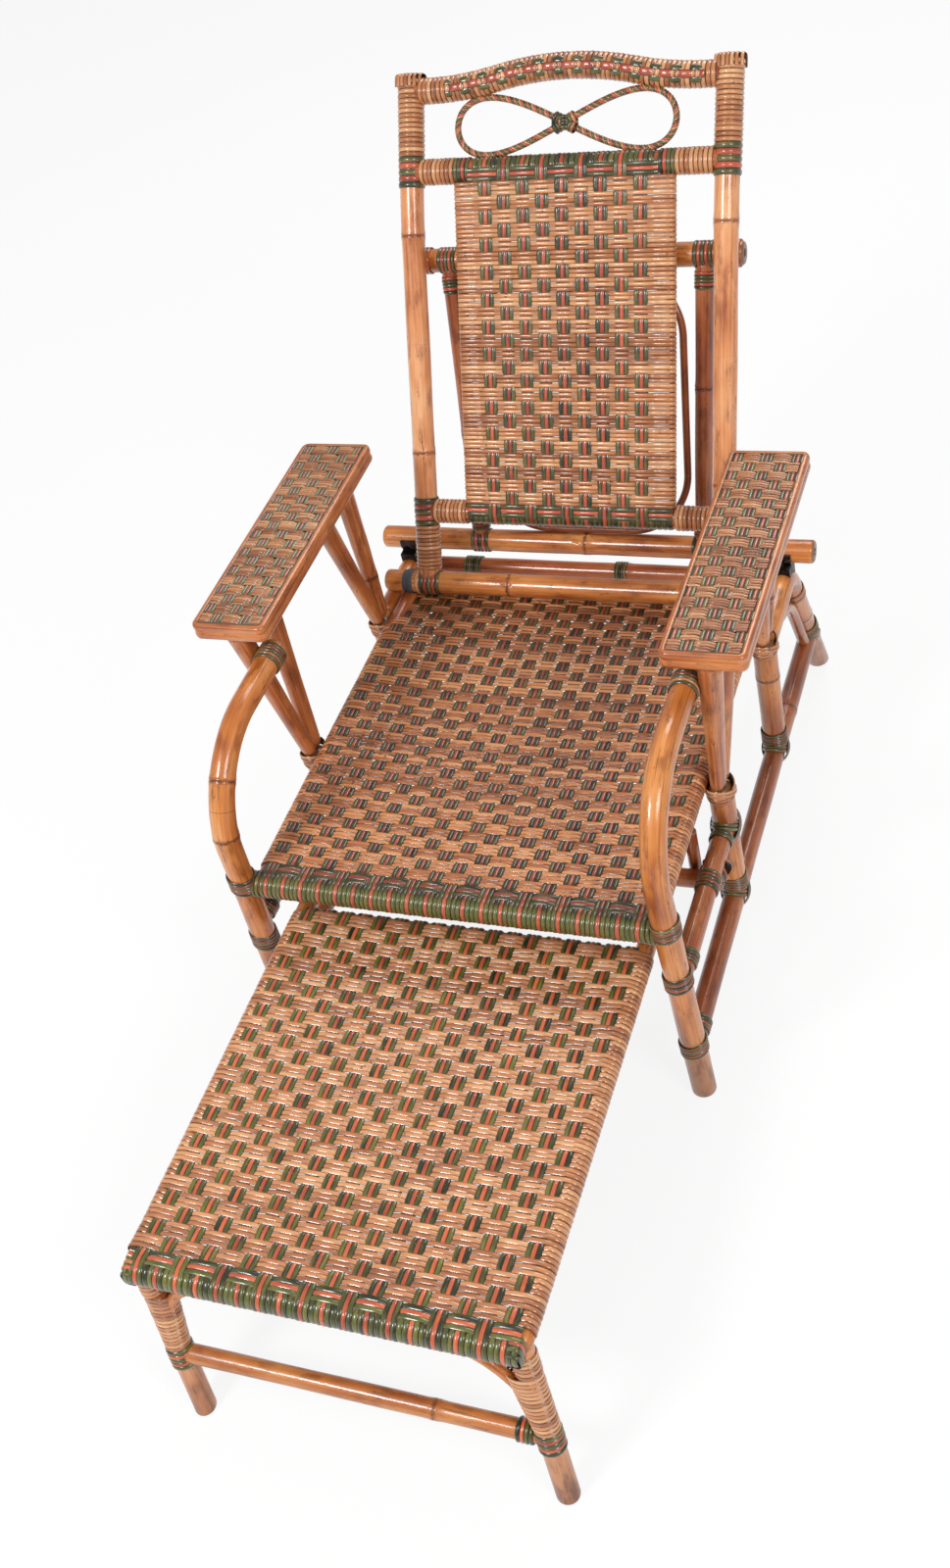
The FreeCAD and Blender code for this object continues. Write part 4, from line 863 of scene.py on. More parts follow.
arm_cane = cane_finish(
    "armrest_cane", ((118, 66, 38), (178, 112, 70), (222, 164, 114)),
    ((58, 62, 38), (118, 120, 72)), ((118, 60, 44), (182, 94, 66)), varnish=0.6,
)
arm_columns = np.array([-0.041, -0.0215, 0.0, 0.0215, 0.041])
half, reach = (ARM_WIDE / 2 - ARM_RIM) + 0.002, ARM_LONG - 2 * ARM_RIM + 0.004
arm_outlines = Outline((-half, 0, 0, 0), (half, 0, 0, 0)), Outline((0, 0, 0, 0), (reach, 0, 0, 0))
inner = (ARM_WIDE - 2 * ARM_RIM + 0.001, ARM_LONG - 2 * ARM_RIM + 0.001, ARM_CORNER - ARM_RIM)
for side, sign in SIDES.items():
    place = spot(sign * ARM_HALF, ARM_BACK, 0)
    made = cane_rim(place, ARM_WIDE, ARM_LONG, ARM_CORNER, RIM_SECTION, ARM_UNDERSIDE)
    piece("armrest_rim_canes_" + side, [made], honey, "base", ["armrest_rim_" + side])
    crossing, running = [], []
    for face, level, fine in ((1, ARM_UNDERSIDE + 0.0228, 6), (-1, ARM_UNDERSIDE + 0.0035, 4)):
        rear = place + Y * (reach / 2) + Z * level
        board = Panel(rear, -Y, Z * face, *arm_outlines, -0.0012, arm_columns, 0.002, ARM_ROW)
        crossing.append(crosswise(board, np.arange(20), 4, 0.0011, fine))
        running.append(lengthwise(board, np.arange(20), 0.0056, 0.0009, fine))
    node = ["armrest_board_" + side]
    piece("armrest_crosswise_" + side, crossing, arm_cane, "base", node)
    piece("armrest_lengthwise_" + side, running, arm_cane, "base", node)
    made = cane_rim(place, *inner, PIPING_SECTION, ARM_UNDERSIDE + ARM_DEPTH - 0.0008)
    piece("armrest_piping_" + side, [made], seat_cane, "base")

# ---- Back posts, crossbars and top rail ----
# Two posts, bent slightly back near the top, joined by two crossbars and a top
# rail that rises in the middle. Bare cane is wound on the rail, on the ends of
# the crossbars and on the posts' lower and upper ends.
RECLINE = math.radians(26.8)
BACK_UP = np.array([0, math.sin(RECLINE), math.cos(RECLINE)])
BACK_REAR = np.cross(BACK_UP, X)
BACK_HALF, RAIL_UP = 0.229, 0.700
CROSS_UPS = {"lower": 0.110, "upper": 0.592}
CROSS_RADIUS = 0.016
CORE_RADIUS = CROSS_RADIUS - 0.0004
TURN_WIDTH, TURN_DEPTH, BAND_WIDTH = 0.0064, 0.0026, 0.0058
BAND_HALF, JOINT_WIDTH, RAIL_WIDTH = 0.021, 0.0084, 0.0069
POST_TURNS = ((0.0215, 0.089), (0.613, 0.716))
CROSS_START, CROSS_END, CROSS_TURNS, CROSS_BAND = 0.017, 0.069, 0.052, 0.023
STRAP_RADIUS, STRAP_LENGTH = LEG_RADIUS + 0.0028, 0.015
POST_STEPS = [("run", 0.480), ("bend", 0.900, 6), ("run", 0.147)]
STRIPES = [GREEN, RED, GREEN, RED, GREEN]
back_line = Line(bent_line(PIVOT, BACK_UP, BACK_REAR, POST_STEPS), X)


def on_back(x, up, behind=0.0):
    """Point beside the line of the posts, from its length above the pivot."""
    at, ahead, _, _ = (v[0] for v in back_line.at(np.array([up])))
    return at + X * x + np.cross(ahead, X) * behind


def band(line, radius, middle, half, width, dyes, depth=STRAND_DEPTH, **shape):
    """Turns round a pole, to the same length on both sides of a middle."""
    return turns(line, radius, middle - half, middle + half, width, dyes, depth, **shape)


rosy = bamboo_finish("bamboo_rosy", (178, 96, 48), (230, 150, 94), (250, 190, 138))
back_cane = cane_finish(
    "back_cane", ((132, 72, 38), (200, 128, 78), (240, 182, 130)),
    ((40, 46, 26), (100, 102, 52)), ((138, 52, 36), (216, 98, 64)), varnish=0.7,
)
back_posts = {}
for side, sign in SIDES.items():
    line = back_posts[side] = Line(back_line.points + sign * BACK_HALF * X, X)
    nodes = (0.198, 0.507) if sign < 0 else (0.16, 0.514)
    bar("back_post_pole_" + side, "back_post_" + side, line, LEG_RADIUS, rosy, "back", nodes=nodes)
wound, tied, bars = [], [], []
for line in back_posts.values():
    for first, last in POST_TURNS:
        wound.append(turns(line, LEG_RADIUS, first, last, TURN_WIDTH, depth=TURN_DEPTH))
    for up in CROSS_UPS.values():
        tied.append(band(line, LEG_RADIUS, up, BAND_HALF, JOINT_WIDTH, STRIPES, TURN_DEPTH))
for name, up in CROSS_UPS.items():
    line = straight(on_back(-BACK_HALF, up), on_back(BACK_HALF, up), BACK_REAR)
    bars.append(pole(line, CORE_RADIUS))
    for end in (0, 1):
        start = CROSS_START + end * (2 * BACK_HALF - CROSS_START - CROSS_END)
        wound.append(turns(line, CROSS_RADIUS, start, start + CROSS_TURNS, TURN_WIDTH, depth=TURN_DEPTH))
        if name == "upper":
            start = BACK_HALF + (0.137 if end else -0.160)
            dyes = [GREEN, RED, GREEN, GREEN] if end else [GREEN, GREEN, RED, GREEN]
            wound.append(turns(line, CROSS_RADIUS, start, start + CROSS_BAND, BAND_WIDTH, dyes))
nodes = ["back_lower_crossbar", "back_upper_crossbar"]
piece("back_crossbar_cores", bars, umber, "back", nodes)

rail_rise = back_line.at(np.array([RAIL_UP]))[1][0]
steps = [("run", 0.030)] + [("bend", 0.456, a) for a in (12.6, -25.2, 12.6)] + [("run", 0.030)]
rail_line = Line(bent_line(on_back(-BACK_HALF, RAIL_UP), X, rail_rise, steps), np.cross(rail_rise, X))
bar("top_rail_core", "top_rail", rail_line, CORE_RADIUS, umber, "back", "wrapped_cane")
wound.append(turns(rail_line, CROSS_RADIUS, 0.016, rail_line.total - 0.016, RAIL_WIDTH))


def checks(line, radius, turn_at, width, pitch, first, last, dye, shift):
    """One strand along a wound pole, over two turns and under the next two.

    It lies at an angle round the pole, and its height is a hard wave.
    """
    s = np.arange(first, last, pitch / 14)
    at, _, side, up = line.at(s)
    out = math.cos(turn_at) * side + math.sin(turn_at) * up
    lift = 0.0016 * wave((s - first) / pitch * 2 + shift, 3.0)
    points = at + (radius + 0.0012 + lift)[:, None] * out
    return canes(points[None], out[None], width, dye)


def beside(count, width):
    """Places of strands side by side, to both sides of 0."""
    return (np.arange(count) - (count - 1) / 2) * width


def end_straps(end, outward, flat, radius, width, dyes, length):
    """Strands side by side over the end of a pole, down both of its sides.

    At an offset o, a strand is half of a rounded box of height sqrt(r^2 - o^2):
    out by sqrt(cos(t)) and up by sqrt(sin(t)), for t from 90 to -90 degrees.
    """
    outward = unit(outward)
    flat = unit(flat - (flat @ outward) * outward)
    offset = beside(len(dyes), width)
    high = np.sqrt(np.clip(radius**2 - offset**2, (0.3 * radius) ** 2, None)) + 0.0012
    t = np.linspace(math.pi / 2, -math.pi / 2, 17)
    out = (length + 0.0022) * np.sqrt(np.abs(np.cos(t))) - length
    rise = high[:, None] * np.sign(np.sin(t)) * np.sqrt(np.abs(np.sin(t)))
    points = end + out[:, None] * outward + rise[..., None] * flat
    points = points + offset[:, None, None] * np.cross(outward, flat)
    normals = np.cos(t)[:, None] * outward + np.sin(t)[:, None] * flat
    return canes(points, np.broadcast_to(normals, points.shape), width * 0.97, np.array(dyes))


for line in back_posts.values():
    end, outward = line.points[-1], line.ahead[-1]
    wound.append(end_straps(end, outward, BACK_REAR, STRAP_RADIUS, BAND_WIDTH, [BARE] * 7, STRAP_LENGTH))
laces = []
for degrees, dye, width in ((210, GREEN, 0.0078), (186, RED, 0.0105), (160, GREEN, 0.0078)):
    ends = (0.060, rail_line.total - 0.03)
    turn_at = math.radians(degrees)
    laces.append(checks(rail_line, CROSS_RADIUS, turn_at, width, 4 * RAIL_WIDTH, *ends, dye, dye - GREEN))
piece("top_rail_laces", laces, back_cane, "back")
piece("back_bare_turns", wound, back_cane, "back")
piece("back_joint_turns", tied, back_cane, "back", ["back_lashings"])

# ---- Back weave ----
# The panel hangs between the two crossbars, drawn tight round their fronts.
# Its edges are bare and rolled over; the dyed triples go right round the bars.
BACK_PITCH, BACK_ROW, FILLER_WIDTH = 0.02825, 0.0188, 0.0084
EDGE_HALF, EDGE_ROLL = 0.152, 0.0085
high, low = on_back(0, CROSS_UPS["upper"]), on_back(0, CROSS_UPS["lower"])
down = unit(low - high)
drop = float(np.linalg.norm(low - high))
back_wide = Outline((-EDGE_HALF, -EDGE_ROLL, EDGE_ROLL, 200), (EDGE_HALF, -EDGE_ROLL, EDGE_ROLL, 200))
back_long = Outline((0, 0, CROSS_RADIUS + UNDER, 255), (drop, 0, CROSS_RADIUS + UNDER, 255))
back_columns = (np.arange(9) - 4) * BACK_PITCH
back_panel = Panel(
    high, down, np.cross(down, X), back_wide, back_long, 0.0,
    back_columns, (drop - 24 * BACK_ROW) / 2, BACK_ROW,
)
weft("back", back_panel, np.arange(24), [(-1, 0.138), (24, 0.158)], back_cane, "back", "back_panel")
between = (np.arange(10) - 4.5) * BACK_PITCH
outer = np.array([-0.1523, -0.1439, -0.1355, 0.1355, 0.1439, 0.1523])
strands = [
    lengthwise(back_panel, np.arange(-1, 25), 0.0066),
    fillers(back_panel, np.append(between, outer), FILLER_WIDTH, 25),
    fillers(back_panel, between, FILLER_WIDTH, -1, way=-1),
]
piece("back_lengthwise_strands", strands, back_cane, "back", ["back_panel"])

# ---- Loop ornament ----
# A thin cane bent to a figure of eight and wound slantwise with dyed and bare
# strands. A small green knot ties its crossing to hold the two loops.
EIGHT_HALF, EIGHT_HIGH, EIGHT_DEEP = 0.1575, 0.038, 0.0028
ORNAMENT_RADIUS, KNOT_HALF = 0.0045, 0.017
EIGHT_UP = (RAIL_UP + CROSS_UPS["upper"]) / 2 + 0.003
EIGHT_DYES = np.array([GREEN, BARE, RED, GREEN, BARE])
centre = on_back(0, EIGHT_UP)
rise = back_line.at(np.array([EIGHT_UP]))[1][0]
rear = np.cross(X, rise)
t = np.linspace(0, 2 * math.pi, 240, endpoint=False)[:, None]
eight = centre + EIGHT_HALF * np.sin(t) * X + EIGHT_HIGH * np.sin(2 * t) * rise
eight = eight + EIGHT_DEEP * np.cos(t) * rear


def wound_cane(points, radius, strands, twist, dyes):
    """Strands wound slantwise on a thin closed cane, side by side.

    Strand k lies at r (cos(t) side + sin(t) up) with t = 2 pi (k / n + l / twist),
    where l is the length along the cane.
    """
    closed = np.concatenate([points, points[:1]])
    edges = np.concatenate([[0], np.cumsum(np.linalg.norm(np.diff(closed, axis=0), axis=1))])
    rounds = max(1, round(edges[-1] / twist))
    s = np.linspace(0, edges[-1], rounds * 10, endpoint=False)
    at = np.stack([np.interp(s, edges, closed[:, k]) for k in range(3)], -1)
    ahead = unit(np.roll(at, -1, axis=0) - np.roll(at, 1, axis=0))
    up = np.broadcast_to(unit(rear), ahead.shape)
    side = np.cross(up, ahead)
    t = 2 * math.pi * (np.arange(strands)[:, None] / strands + s / edges[-1] * rounds)
    ring = np.cos(t)[..., None] * side + np.sin(t)[..., None] * up
    slant = 2 * math.pi * radius
    width = slant / strands * math.cos(math.atan2(slant, twist))
    return canes(at + (radius - 0.0004) * ring, ring, width * 1.05, dyes, 0.0013, loop=True)


parts = [wound_cane(eight, ORNAMENT_RADIUS, len(EIGHT_DYES), 0.020, EIGHT_DYES)]
lean = math.atan2(2 * EIGHT_HIGH, EIGHT_HALF)
for slant in (-1, 1):
    heading = unit(X * math.cos(lean) + slant * rise * math.sin(lean))
    line = straight(centre - heading * KNOT_HALF, centre + heading * KNOT_HALF, rear)
    parts.append(turns(line, 0.0072, 0.0, 2 * KNOT_HALF, 0.0048, [GREEN, GREEN, BARE, GREEN], around=14))
line = straight(centre - rise * 0.010, centre + rise * 0.010, rear)
parts.append(turns(line, 0.0086, 0.001, 0.019, 0.0046, GREEN, around=16))
piece("ornament_canes", parts, back_cane, "back", ["loop_ornament"])

# ---- Loops that the bars turn in ----
# Each back post ends in cane loops that go round the pivot bar. Two more hold
# the prop's upper bar. A dark tape keeps the left loops from sliding outwards.
HINGE, HINGE_UP, UPPER_HALF = 0.0384, 0.470, 0.246
LOOP_RADIUS, LOOP_DEPTH = 0.0173, 0.0024
LOOP_DYES = [BARE, GREEN, RED, GREEN, RED, GREEN]
MIXED_DYES = [GREEN, RED, GREEN, GREEN, RED]
UPPER_BAR = on_back(0, HINGE_UP, HINGE)
upper_line = straight(UPPER_BAR - UPPER_HALF * X, UPPER_BAR + UPPER_HALF * X, BACK_REAR)
loops, hinges = [], []
for sign in SIDES.values():
    middle = PIVOT_HALF + sign * BACK_HALF
    loops.append(band(pivot_line, LOOP_RADIUS, middle, 0.020, 0.0067, LOOP_DYES[::-sign], LOOP_DEPTH))
    middle = UPPER_HALF + sign * BACK_HALF
    hinges.append(band(upper_line, LOOP_RADIUS, middle, 0.013, 0.0052, MIXED_DYES, LOOP_DEPTH))
piece("pivot_loop_turns", loops, back_cane, "back", ["back_pivot_loops"])
piece("prop_hinge_turns", hinges, back_cane, "back", ["prop_hinge_loops"])


def tape_finish():
    """Dark grey cloth tape, rubbed shiny, with a fine weave and lifted edges."""
    f = Finish("grey_tape")
    grain = f.grain()
    rubbed = f.noise(grain, 150, 90, 3)
    colour = f.mixed(rubbed, (0.035, 0.042, 0.05), (0.105, 0.12, 0.13))
    return f.finished(colour, 0.42 + rubbed * 0.25, f.noise(grain, 2400, 2400, 1), 0.0002, {})


tape = [
    turns(pivot_line, LEG_RADIUS - 0.0002, 0.0305, 0.0405, 0.010, depth=0.0016, lean=0.0006, around=36),
    turns(pivot_line, LEG_RADIUS + 0.0001, 0.0355, 0.0455, 0.010, depth=0.0019, lean=-0.0009, around=36),
]
piece("pivot_tape", tape, tape_finish(), "base", ["pivot_strap"])

# ---- Prop behind the back ----
# Two poles between an upper bar, which turns in its loops, and a lower bar,
# which lies in the hooks. A thin cane hoop is bound inside the four of them.
LOWER_BAR = np.array([0, 0.707 - RAIL_TO_MIDDLE, 0.345])
LOWER_HALF = 0.341
HEAD_HALF, TAIL_HALF, PROP_RADIUS = 0.190, 0.176, 0.013
HOOP_RADIUS, HOOP_HALF, HOOP_CORNER = 0.0055, 0.1555, 0.090
lower_line = straight(LOWER_BAR - LOWER_HALF * X, LOWER_BAR + LOWER_HALF * X, Y)
PROP_BARS = (
    ("upper", upper_line, 0.31, UPPER_HALF, HEAD_HALF), ("lower", lower_line, 0.336, LOWER_HALF, TAIL_HALF)
)
for name, line, node, _, _ in PROP_BARS:
    name = "prop_" + name
    bar(name + "_pole", name + "_bar", line, LEG_RADIUS, bamboo, "prop", nodes=(node,), sawn=(True, True))
prop_turns = []
for sign in SIDES.values():
    for _, line, _, middle, half in PROP_BARS:
        prop_turns.append(band(line, LEG_RADIUS, middle + sign * half, 0.014, 0.0056, STRIPES))
for side, sign in SIDES.items():
    line = straight(LOWER_BAR + sign * TAIL_HALF * X, UPPER_BAR + sign * HEAD_HALF * X)
    nodes = (0.24,) if sign > 0 else (0.17,)
    bar("prop_side_pole_" + side, "prop_pole_" + side, line, PROP_RADIUS, umber, "prop", nodes=nodes)
    for middle in (0.032, line.total - 0.034):
        prop_turns.append(band(line, PROP_RADIUS, middle, 0.0125, 0.005, MIXED_DYES))
prop_rise = unit(UPPER_BAR - LOWER_BAR)
inset = LEG_RADIUS + HOOP_RADIUS + 0.0004
tall = float(np.linalg.norm(UPPER_BAR - LOWER_BAR)) - 2 * inset
bend = ("bend", HOOP_CORNER, 90)
steps = [("run", tall - 2 * HOOP_CORNER), bend, ("run", 2 * HOOP_HALF - 2 * HOOP_CORNER), bend]
start = LOWER_BAR + HOOP_HALF * X + prop_rise * (inset + HOOP_CORNER)
hoop = bent_line(start, prop_rise, -X, steps * 2, gap=0.006)[:-1]
ahead = unit(np.roll(hoop, -1, axis=0) - np.roll(hoop, 1, axis=0))
level = unit(np.cross(prop_rise, X))
ring, cosine = circle(14, level, np.cross(ahead, level)[:, None])
lengths = np.cumsum(np.linalg.norm(np.diff(hoop, axis=0, append=hoop[:1]), axis=1))
sine = circle(14, 0.0, 1.0)[0]
rim = np.broadcast_arrays(HOOP_RADIUS * cosine[:, 0], HOOP_RADIUS * sine[:, 0], lengths[:, None])
grid = hoop[:, None] + HOOP_RADIUS * ring
made = solid(grid[None], {"grain": np.stack(rim, -1)[None], "joint": FAR, "cut": 0.0}, loop=True)
piece("prop_hoop_cane", [made], umber, "prop", ["prop_hoop_brace"])
piece("prop_joint_turns", prop_turns, back_cane, "prop", ["prop_lashings"])

# ---- Footrest frame ----
# Two long side poles that run back over the slide crossbar, joined by two bars.
# Two upright pegs at the tail stop against the crossbar when it is pulled out.
FOOT_HALF, FOOT_HEIGHT = 0.241, 0.233
FOOT_FRONT, FOOT_REAR, FOOT_TAIL = -0.522, 0.020, 0.232
PEG_HALF, PEG_BACK, PEG_LOW, PEG_HIGH, PEG_RADIUS = 0.263, 0.2075, 0.190, 0.275, 0.0085
for side, sign in SIDES.items():
    x = sign * FOOT_HALF
    line = straight(spot(x, FOOT_FRONT, FOOT_HEIGHT), spot(x, FOOT_TAIL, FOOT_HEIGHT))
    node = "footrest_side_pole_" + side
    shape = {"nodes": (0.3, 0.62), "sawn": (False, True)}
    bar("footrest_rail_" + side, node, line, 0.0128, bamboo, "footrest", **shape)
for name, back in (("rear_rail", FOOT_REAR), ("tail_bar", 0.214)):
    line, node = across(FOOT_HALF, back, FOOT_HEIGHT), "footrest_" + name
    bar(node + "_pole", node, line, 0.0118, umber, "footrest", nodes=(0.2,), around=20)
pegs = []
for sign in SIDES.values():
    line = straight(spot(sign * PEG_HALF, PEG_BACK, PEG_LOW), spot(sign * PEG_HALF, PEG_BACK, PEG_HIGH))
    pegs.append(pole(line, PEG_RADIUS, sawn=(True, True), around=18))
piece("footrest_peg_canes", pegs, umber, "footrest", ["footrest_stop_pegs"])

# ---- Footrest weave ----
# The same weave as the seat, less used and brighter. Its last crosswise group
# is dyed, and beyond it the roll is covered by the triples and green strands.
foot_cane = cane_finish(
    "footrest_cane", ((134, 76, 44), (196, 126, 80), (238, 178, 124)),
    ((36, 42, 18), (108, 114, 46)), ((136, 54, 34), (220, 108, 66)), varnish=0.7, wear=0.3,
)
FOOT_PITCH, FOOT_ROW, FOOT_FIRST, FOOT_SAG = 0.0268, 0.02015, -0.002, 0.006
SIDE_ROLL = 0.0138
foot_wide = Outline((-FOOT_HALF, -SIDE_ROLL, SIDE_ROLL, 225), (FOOT_HALF, -SIDE_ROLL, SIDE_ROLL, 225))
rear_rail, front_rail = (0, FOOT_HEIGHT, 0.012 + UNDER, 190), (0.542, FOOT_HEIGHT, 0.016 + UNDER, 255)
foot_long = Outline(rear_rail, front_rail, level=0.2468, ramps=(0.03, 0.06))
foot_columns = (np.arange(18) - 8.5) * FOOT_PITCH
foot_panel = Panel(
    spot(0, FOOT_REAR, 0), -Y, Z, foot_wide, foot_long, FOOT_SAG, foot_columns, FOOT_FIRST, FOOT_ROW
)
weft("footrest", foot_panel, np.arange(26), [(26, 0.244)], foot_cane, "footrest", "footrest_panel")
strands = [lengthwise(foot_panel, np.arange(27), TRIPLE_WIDTH)]
strands.append(fillers(foot_panel, (np.arange(19) - 9) * FOOT_PITCH, 0.0076, 27))
for sign in SIDES.values():
    end = spot(sign * (FOOT_HALF + 0.0042), FOOT_FRONT, FOOT_HEIGHT)
    dyes = [BARE, GREEN, RED, GREEN, GREEN] if sign > 0 else [GREEN, RED, BARE, BARE, BARE]
    strands.append(end_straps(end, sign * X, Z, 0.0162, 0.0062, dyes, 0.012))
piece("footrest_lengthwise_strands", strands, foot_cane, "footrest", ["footrest_panel"])
line = across(FOOT_HALF + 0.004, FOOT_FRONT, FOOT_HEIGHT)
bar("footrest_roll_core", "footrest_front_rail", line, 0.0158, umber, "footrest", "wrapped_cane")

# ---- Footrest legs ----
# Two short legs under the roll lean to one side, as the frame has settled. They
# are wound with bare cane, fuller at the top outside, down to a stretcher, and
# bound there in green and red. A thin bent cane stiffens each upper corner.
FOOT_LEG_HALF, FOOT_LEG_RADIUS, FOOT_LEG_LEAN = 0.236, 0.0143, 0.036
JOINT_HEIGHT, JOINT_LOW, JOINT_HIGH = 0.090, 0.013, 0.017
CORNER_RADIUS = 0.0068
leg_turns, leg_ties, corner_canes, joints = [], [], [], []
for side, sign in SIDES.items():
    head = spot(sign * FOOT_LEG_HALF, -0.508, FOOT_HEIGHT)
    line = straight(head, spot(sign * FOOT_LEG_HALF + FOOT_LEG_LEAN, -0.573, 0))
    bar("footrest_leg_pole_" + side, "footrest_leg_" + side, line, FOOT_LEG_RADIUS, rosy, "footrest",
        sawn=(False, True), foot=1)
    low = (FOOT_HEIGHT - JOINT_HEIGHT) / FOOT_HEIGHT * line.total
    joints.append(line.point(low))
    leg_turns.append(turns(line, FOOT_LEG_RADIUS, 0.020, 0.050, BAND_WIDTH, lean=0.001))
    shape = {"lean": 0.001, "bulge": -sign * 0.013}
    leg_turns.append(turns(line, FOOT_LEG_RADIUS, 0.050, low - JOINT_LOW, BAND_WIDTH, **shape))
    leg_ties.append(turns(line, 0.0146, low - JOINT_LOW, low + JOINT_HIGH, 0.006, STRIPES, 0.003))
    top = head + np.array([-sign * 0.082, -0.010, -0.0235])
    knee = head + np.array([-sign * 0.022, -0.016, -0.030])
    end = line.point(0.100) - sign * 0.0085 * X
    share = np.linspace(0, 1, 14)[:, None]
    path = (1 - share) ** 2 * top + 2 * share * (1 - share) * knee + share**2 * end
    corner_canes.append(pole(Line(path, Y), CORNER_RADIUS, around=16))
line = straight(*joints, Y)
name = "footrest_stretcher"
bar(name + "_pole", name, line, 0.012, bamboo, "footrest", nodes=(0.335,), around=24)
ends = (line.total - 0.037, line.total - 0.016)
leg_ties.append(turns(line, 0.0121, *ends, 0.005, [GREEN, RED, GREEN, GREEN], 0.003))
piece("footrest_corner_canes", corner_canes, bamboo, "footrest", ["footrest_leg_left"])
piece("footrest_leg_turns", leg_turns, foot_cane, "footrest", ["footrest_lashings"])
piece("footrest_leg_ties", leg_ties, foot_cane, "footrest", ["footrest_lashings"])

# ---- Ties of the chair's frame ----
# Every joint is bound with strands of cane. Turns go round one pole, and at the
# crossings further turns go slantwise over both. Most are dyed green and red,
# and those at the foot of each fork are bare.
def stacked(middle, ring, out, over, dyes, width, depth=STRAND_DEPTH):
    """Closed turns of one shape round a middle, set side by side along over."""
    points = middle + ring[None] + beside(len(dyes), width)[:, None, None] * over
    normals = np.broadcast_to(out, points.shape)
    return canes(points, normals, width * 0.97, np.array(dyes), depth, loop=True)


def cross_tie(middle, a, b, radius, dyes, spread=1.0):
    """Slanting turns over two poles that meet at right angles, both ways.

    For the slant d = (a +- b) / sqrt 2, a turn is m + x (r cos t) + d (1.36 r sin t),
    moved sideways by its number times its width.
    """
    a, b = unit(np.asarray(a, float)), unit(np.asarray(b, float))
    x = np.cross(a, b)
    made = []
    for sign in (1, -1):
        d, n = (a + sign * b) / math.sqrt(2), (a - sign * b) / math.sqrt(2)
        r = radius + 0.0012 + 0.0012 * (sign > 0)
        long = r * 1.36 * spread
        ring, out = circle(28, x * r, d * long)[0], unit(circle(28, x / r, d / long)[0])
        made.append(stacked(middle, ring, out, n, dyes, 0.005))
    return made


def slanted(middle, wide, deep, degrees, dyes, width=0.0058, depth=0.0034):
    """Turns round an upright pole, one above the other, tilted about X.

    A turn is m + x (w cos(t)) + y (d sin(t)) + z (d tan(tilt) sin(t)).
    """
    ring, _ = circle(28, wide * X, deep * (Y + math.tan(math.radians(degrees)) * Z))
    return stacked(middle, ring, unit(circle(28, X / wide, Y / deep)[0]), Z, dyes, width, depth)


frame_cane = cane_finish(
    "frame_cane", ((124, 70, 38), (182, 114, 66), (222, 158, 106)),
    ((46, 46, 26), (120, 116, 66)), ((102, 48, 34), (172, 88, 60)),
)
BOW_TIES = {"left": (0.095, 0.216, 0.330), "right": (0.1, 0.237, 0.335)}
BOW_END_DYES, ARM_END_DYES = [GREEN, BARE, GREEN, RED, GREEN, BARE], [GREEN, RED, BARE, RED, GREEN]
SLIDE_BANDS = (
    (0.020, 0.040, 0.005, TRIPLE), (0.142, 0.170, 0.0056, STRIPES), (0.228, 0.240, 0.006, GREEN)
)
TIE_DEPTH = 0.003
STEEP = 0.8944
coloured, bare = [], []
for side, sign in SIDES.items():
    x, bow, leg, slide = sign * HALF, bows[side], rear_legs[side], slides[side]
    for height in BOW_TIES[side]:
        s = height / math.cos(BOW_LEAN)
        coloured.append(band(bow, LEG_RADIUS, s, 0.013, 0.0052, STRIPES, TIE_DEPTH, lean=sign * 0.003))
    ends = (bow.total - 0.038, bow.total - 0.006)
    coloured.append(turns(bow, LEG_RADIUS, *ends, 0.0053, BOW_END_DYES, TIE_DEPTH))
    for name, back in POST_BACKS.items():
        coloured += cross_tie(spot(x, back, LOW + 0.004), Y, Z, 0.0172, TRIPLE, spread=0.93)
        coloured.append(turns(posts[name, side], LEG_RADIUS, 0.018, 0.043, 0.005, STRIPES, TIE_DEPTH))
        apex = spot(x, back, FORK_HEIGHT)
        bare.append(slanted(apex - 0.007 * Z, 0.0184, 0.0190, 22, [BARE] * 3))
        bare.append(slanted(apex - 0.009 * Z, 0.0196, 0.0204, -22, [BARE] * 2))
        arm = fork_arms[name, side, 1]
        ends = (arm.total - 0.034, arm.total - 0.004)
        coloured.append(turns(arm, 0.0155, *ends, 0.006, ARM_END_DYES, TIE_DEPTH))
    coloured += cross_tie(spot(x, POST_BACKS["front"], SLIDE_HEIGHT), Y, Z, 0.0172, [GREEN, GREEN, RED])
    bare.append(turns(leg, LEG_RADIUS, 0.205, 0.228, 0.0055))
    coloured.append(turns(stretchers[side], STRETCHER_RADIUS, 0.020, 0.040, 0.005, TRIPLE, TIE_DEPTH))
    for first, last, width, dyes in SLIDE_BANDS:
        coloured.append(turns(slide, SLIDE_RADIUS, first, last, width, dyes, TIE_DEPTH))
    coloured += cross_tie(spot(x, CROSSBAR_BACK, 0.226), X, Y, 0.0150, [RED, GREEN, RED], spread=0.9)
    s = leg.total - LOW / STEEP - 0.034
    coloured.append(band(leg, LEG_RADIUS, s, 0.0125, 0.005, STRIPES, TIE_DEPTH))
    coloured += cross_tie(leg.point(leg.total - 0.1118), Y, LEG_DOWN, 0.0170, TRIPLE)
for middle, half in ((0.100, 0.014), (0.341, 0.010)):
    coloured.append(band(rear_line, SLIDE_RADIUS, middle, half, 0.004, GREEN, TIE_DEPTH))
piece("frame_joint_turns", coloured, frame_cane, "base", ["frame_lashings"])
piece("fork_joint_turns", bare, frame_cane, "base", ["fork_lashings"])

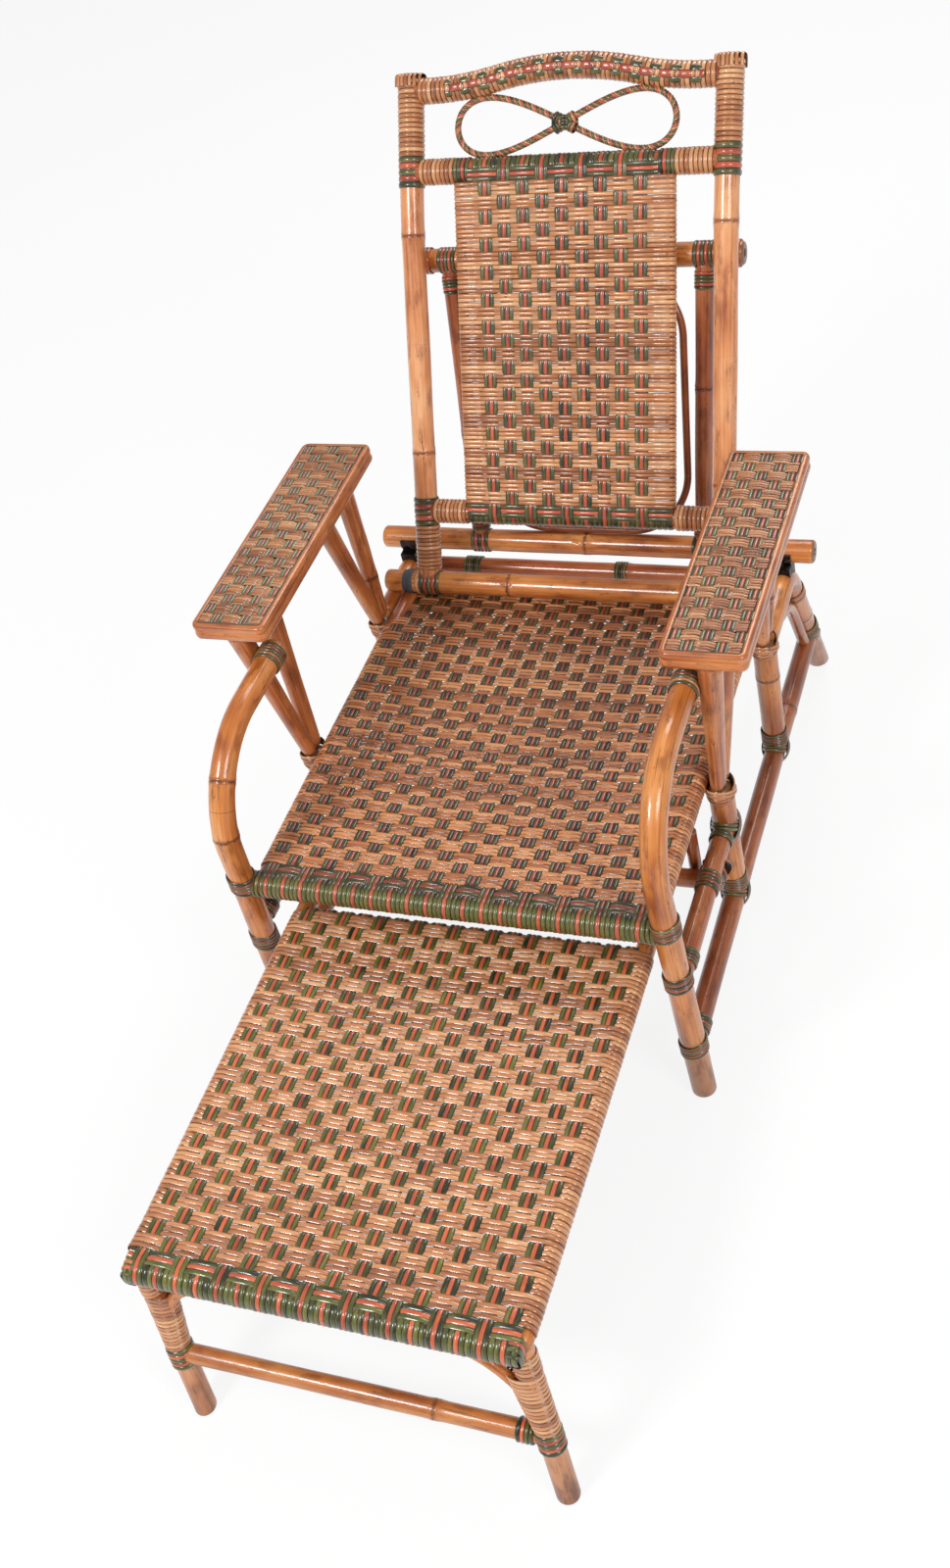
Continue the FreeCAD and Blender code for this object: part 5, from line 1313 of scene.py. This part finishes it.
# ---- Light, floor and camera ----
# A plain pale floor and soft studio lamps, seen from the photograph's place.
# The floor is white to the camera and in gloss, and still takes the shadow.
FLOOR_REACH, FLOOR_DROP = 12.0, 0.0005
FLOOR_SEEN, FLOOR_GLOW, WORLD_GLOW = 0.85, 1.02, 0.4
floor = Finish("studio_floor")
rays = floor.node("LightPath").outputs
seen = Value(floor.tree, rays["Is Camera Ray"])
for kind in ("Is Glossy Ray", "Is Transmission Ray"):
    seen = seen.math("MAXIMUM", Value(floor.tree, rays[kind]))
plain = floor.node("BsdfDiffuse", None, {"Color": (0.86, 0.86, 0.86)})
glow = floor.node("Emission", None, {"Color": (1.0, 1.0, 1.0), "Strength": FLOOR_GLOW})
both = floor.node("MixShader", None, {0: seen * FLOOR_SEEN, 1: plain.outputs[0], 2: glow.outputs[0]})
floor.node("OutputMaterial", None, {"Surface": both.outputs[0]})
corners = [(x * FLOOR_REACH, y * FLOOR_REACH, -FLOOR_DROP) for x, y in ((-1, -1), (1, -1), (1, 1), (-1, 1))]
floor_mesh = bpy.data.meshes.new("studio_floor")
floor_mesh.from_pydata(corners, [], [(0, 1, 2, 3)])
floor_mesh.materials.append(floor.material)
floor_object = bpy.data.objects.new("studio_floor", floor_mesh)
bpy.context.scene.collection.objects.link(floor_object)

world = bpy.data.worlds.new("studio_world")
world.use_nodes = True
world.node_tree.nodes["Background"].inputs["Color"].default_value = (1, 1, 1, 1)
world.node_tree.nodes["Background"].inputs["Strength"].default_value = WORLD_GLOW
bpy.context.scene.world = world


def lamp(name, place, size, watts):
    """Square soft lamp that shines from a place at the middle of the chair."""
    light = bpy.data.lights.new(name, "AREA")
    light.shape = "SQUARE"
    light.size, light.energy = size, watts
    made = bpy.data.objects.new(name, light)
    away = Vector(place) - Vector((0, 0, 0.3))
    made.matrix_world = Matrix.Translation(place) @ away.to_track_quat("Z", "Y").to_matrix().to_4x4()
    bpy.context.scene.collection.objects.link(made)


lamp("key_lamp", (-1.3, -2.3, 3.0), 0.8, 70)
lamp("side_lamp", (2.3, -1.5, 2.6), 1.0, 40)
lamp("rear_lamp", (0.3, 2.6, 3.0), 1.4, 40)

CAMERA_PLACE, CAMERA_LENS = (0.80844, -1.46343, 1.94865), 39.83
swing, tilt, roll = (math.radians(angle) for angle in (29.45, 43.59, 16.08))
camera = bpy.data.cameras.new("photo_camera")
camera.sensor_fit = "VERTICAL"
camera.sensor_height = 36.0
camera.lens = CAMERA_LENS
look = np.array([-math.sin(swing) * math.cos(tilt), math.cos(swing) * math.cos(tilt), -math.sin(tilt)])
level = unit(np.cross(look, Z))
upright = np.cross(level, look)
right = math.cos(roll) * level - math.sin(roll) * upright
above = math.cos(roll) * upright + math.sin(roll) * level
aim = Matrix(np.stack([right, above, -look], 1).tolist()).to_4x4()
camera_object = bpy.data.objects.new("photo_camera", camera)
camera_object.matrix_world = Matrix.Translation(CAMERA_PLACE) @ aim
bpy.context.scene.collection.objects.link(camera_object)
bpy.context.scene.camera = camera_object
bpy.context.scene.view_settings.view_transform = "Standard"
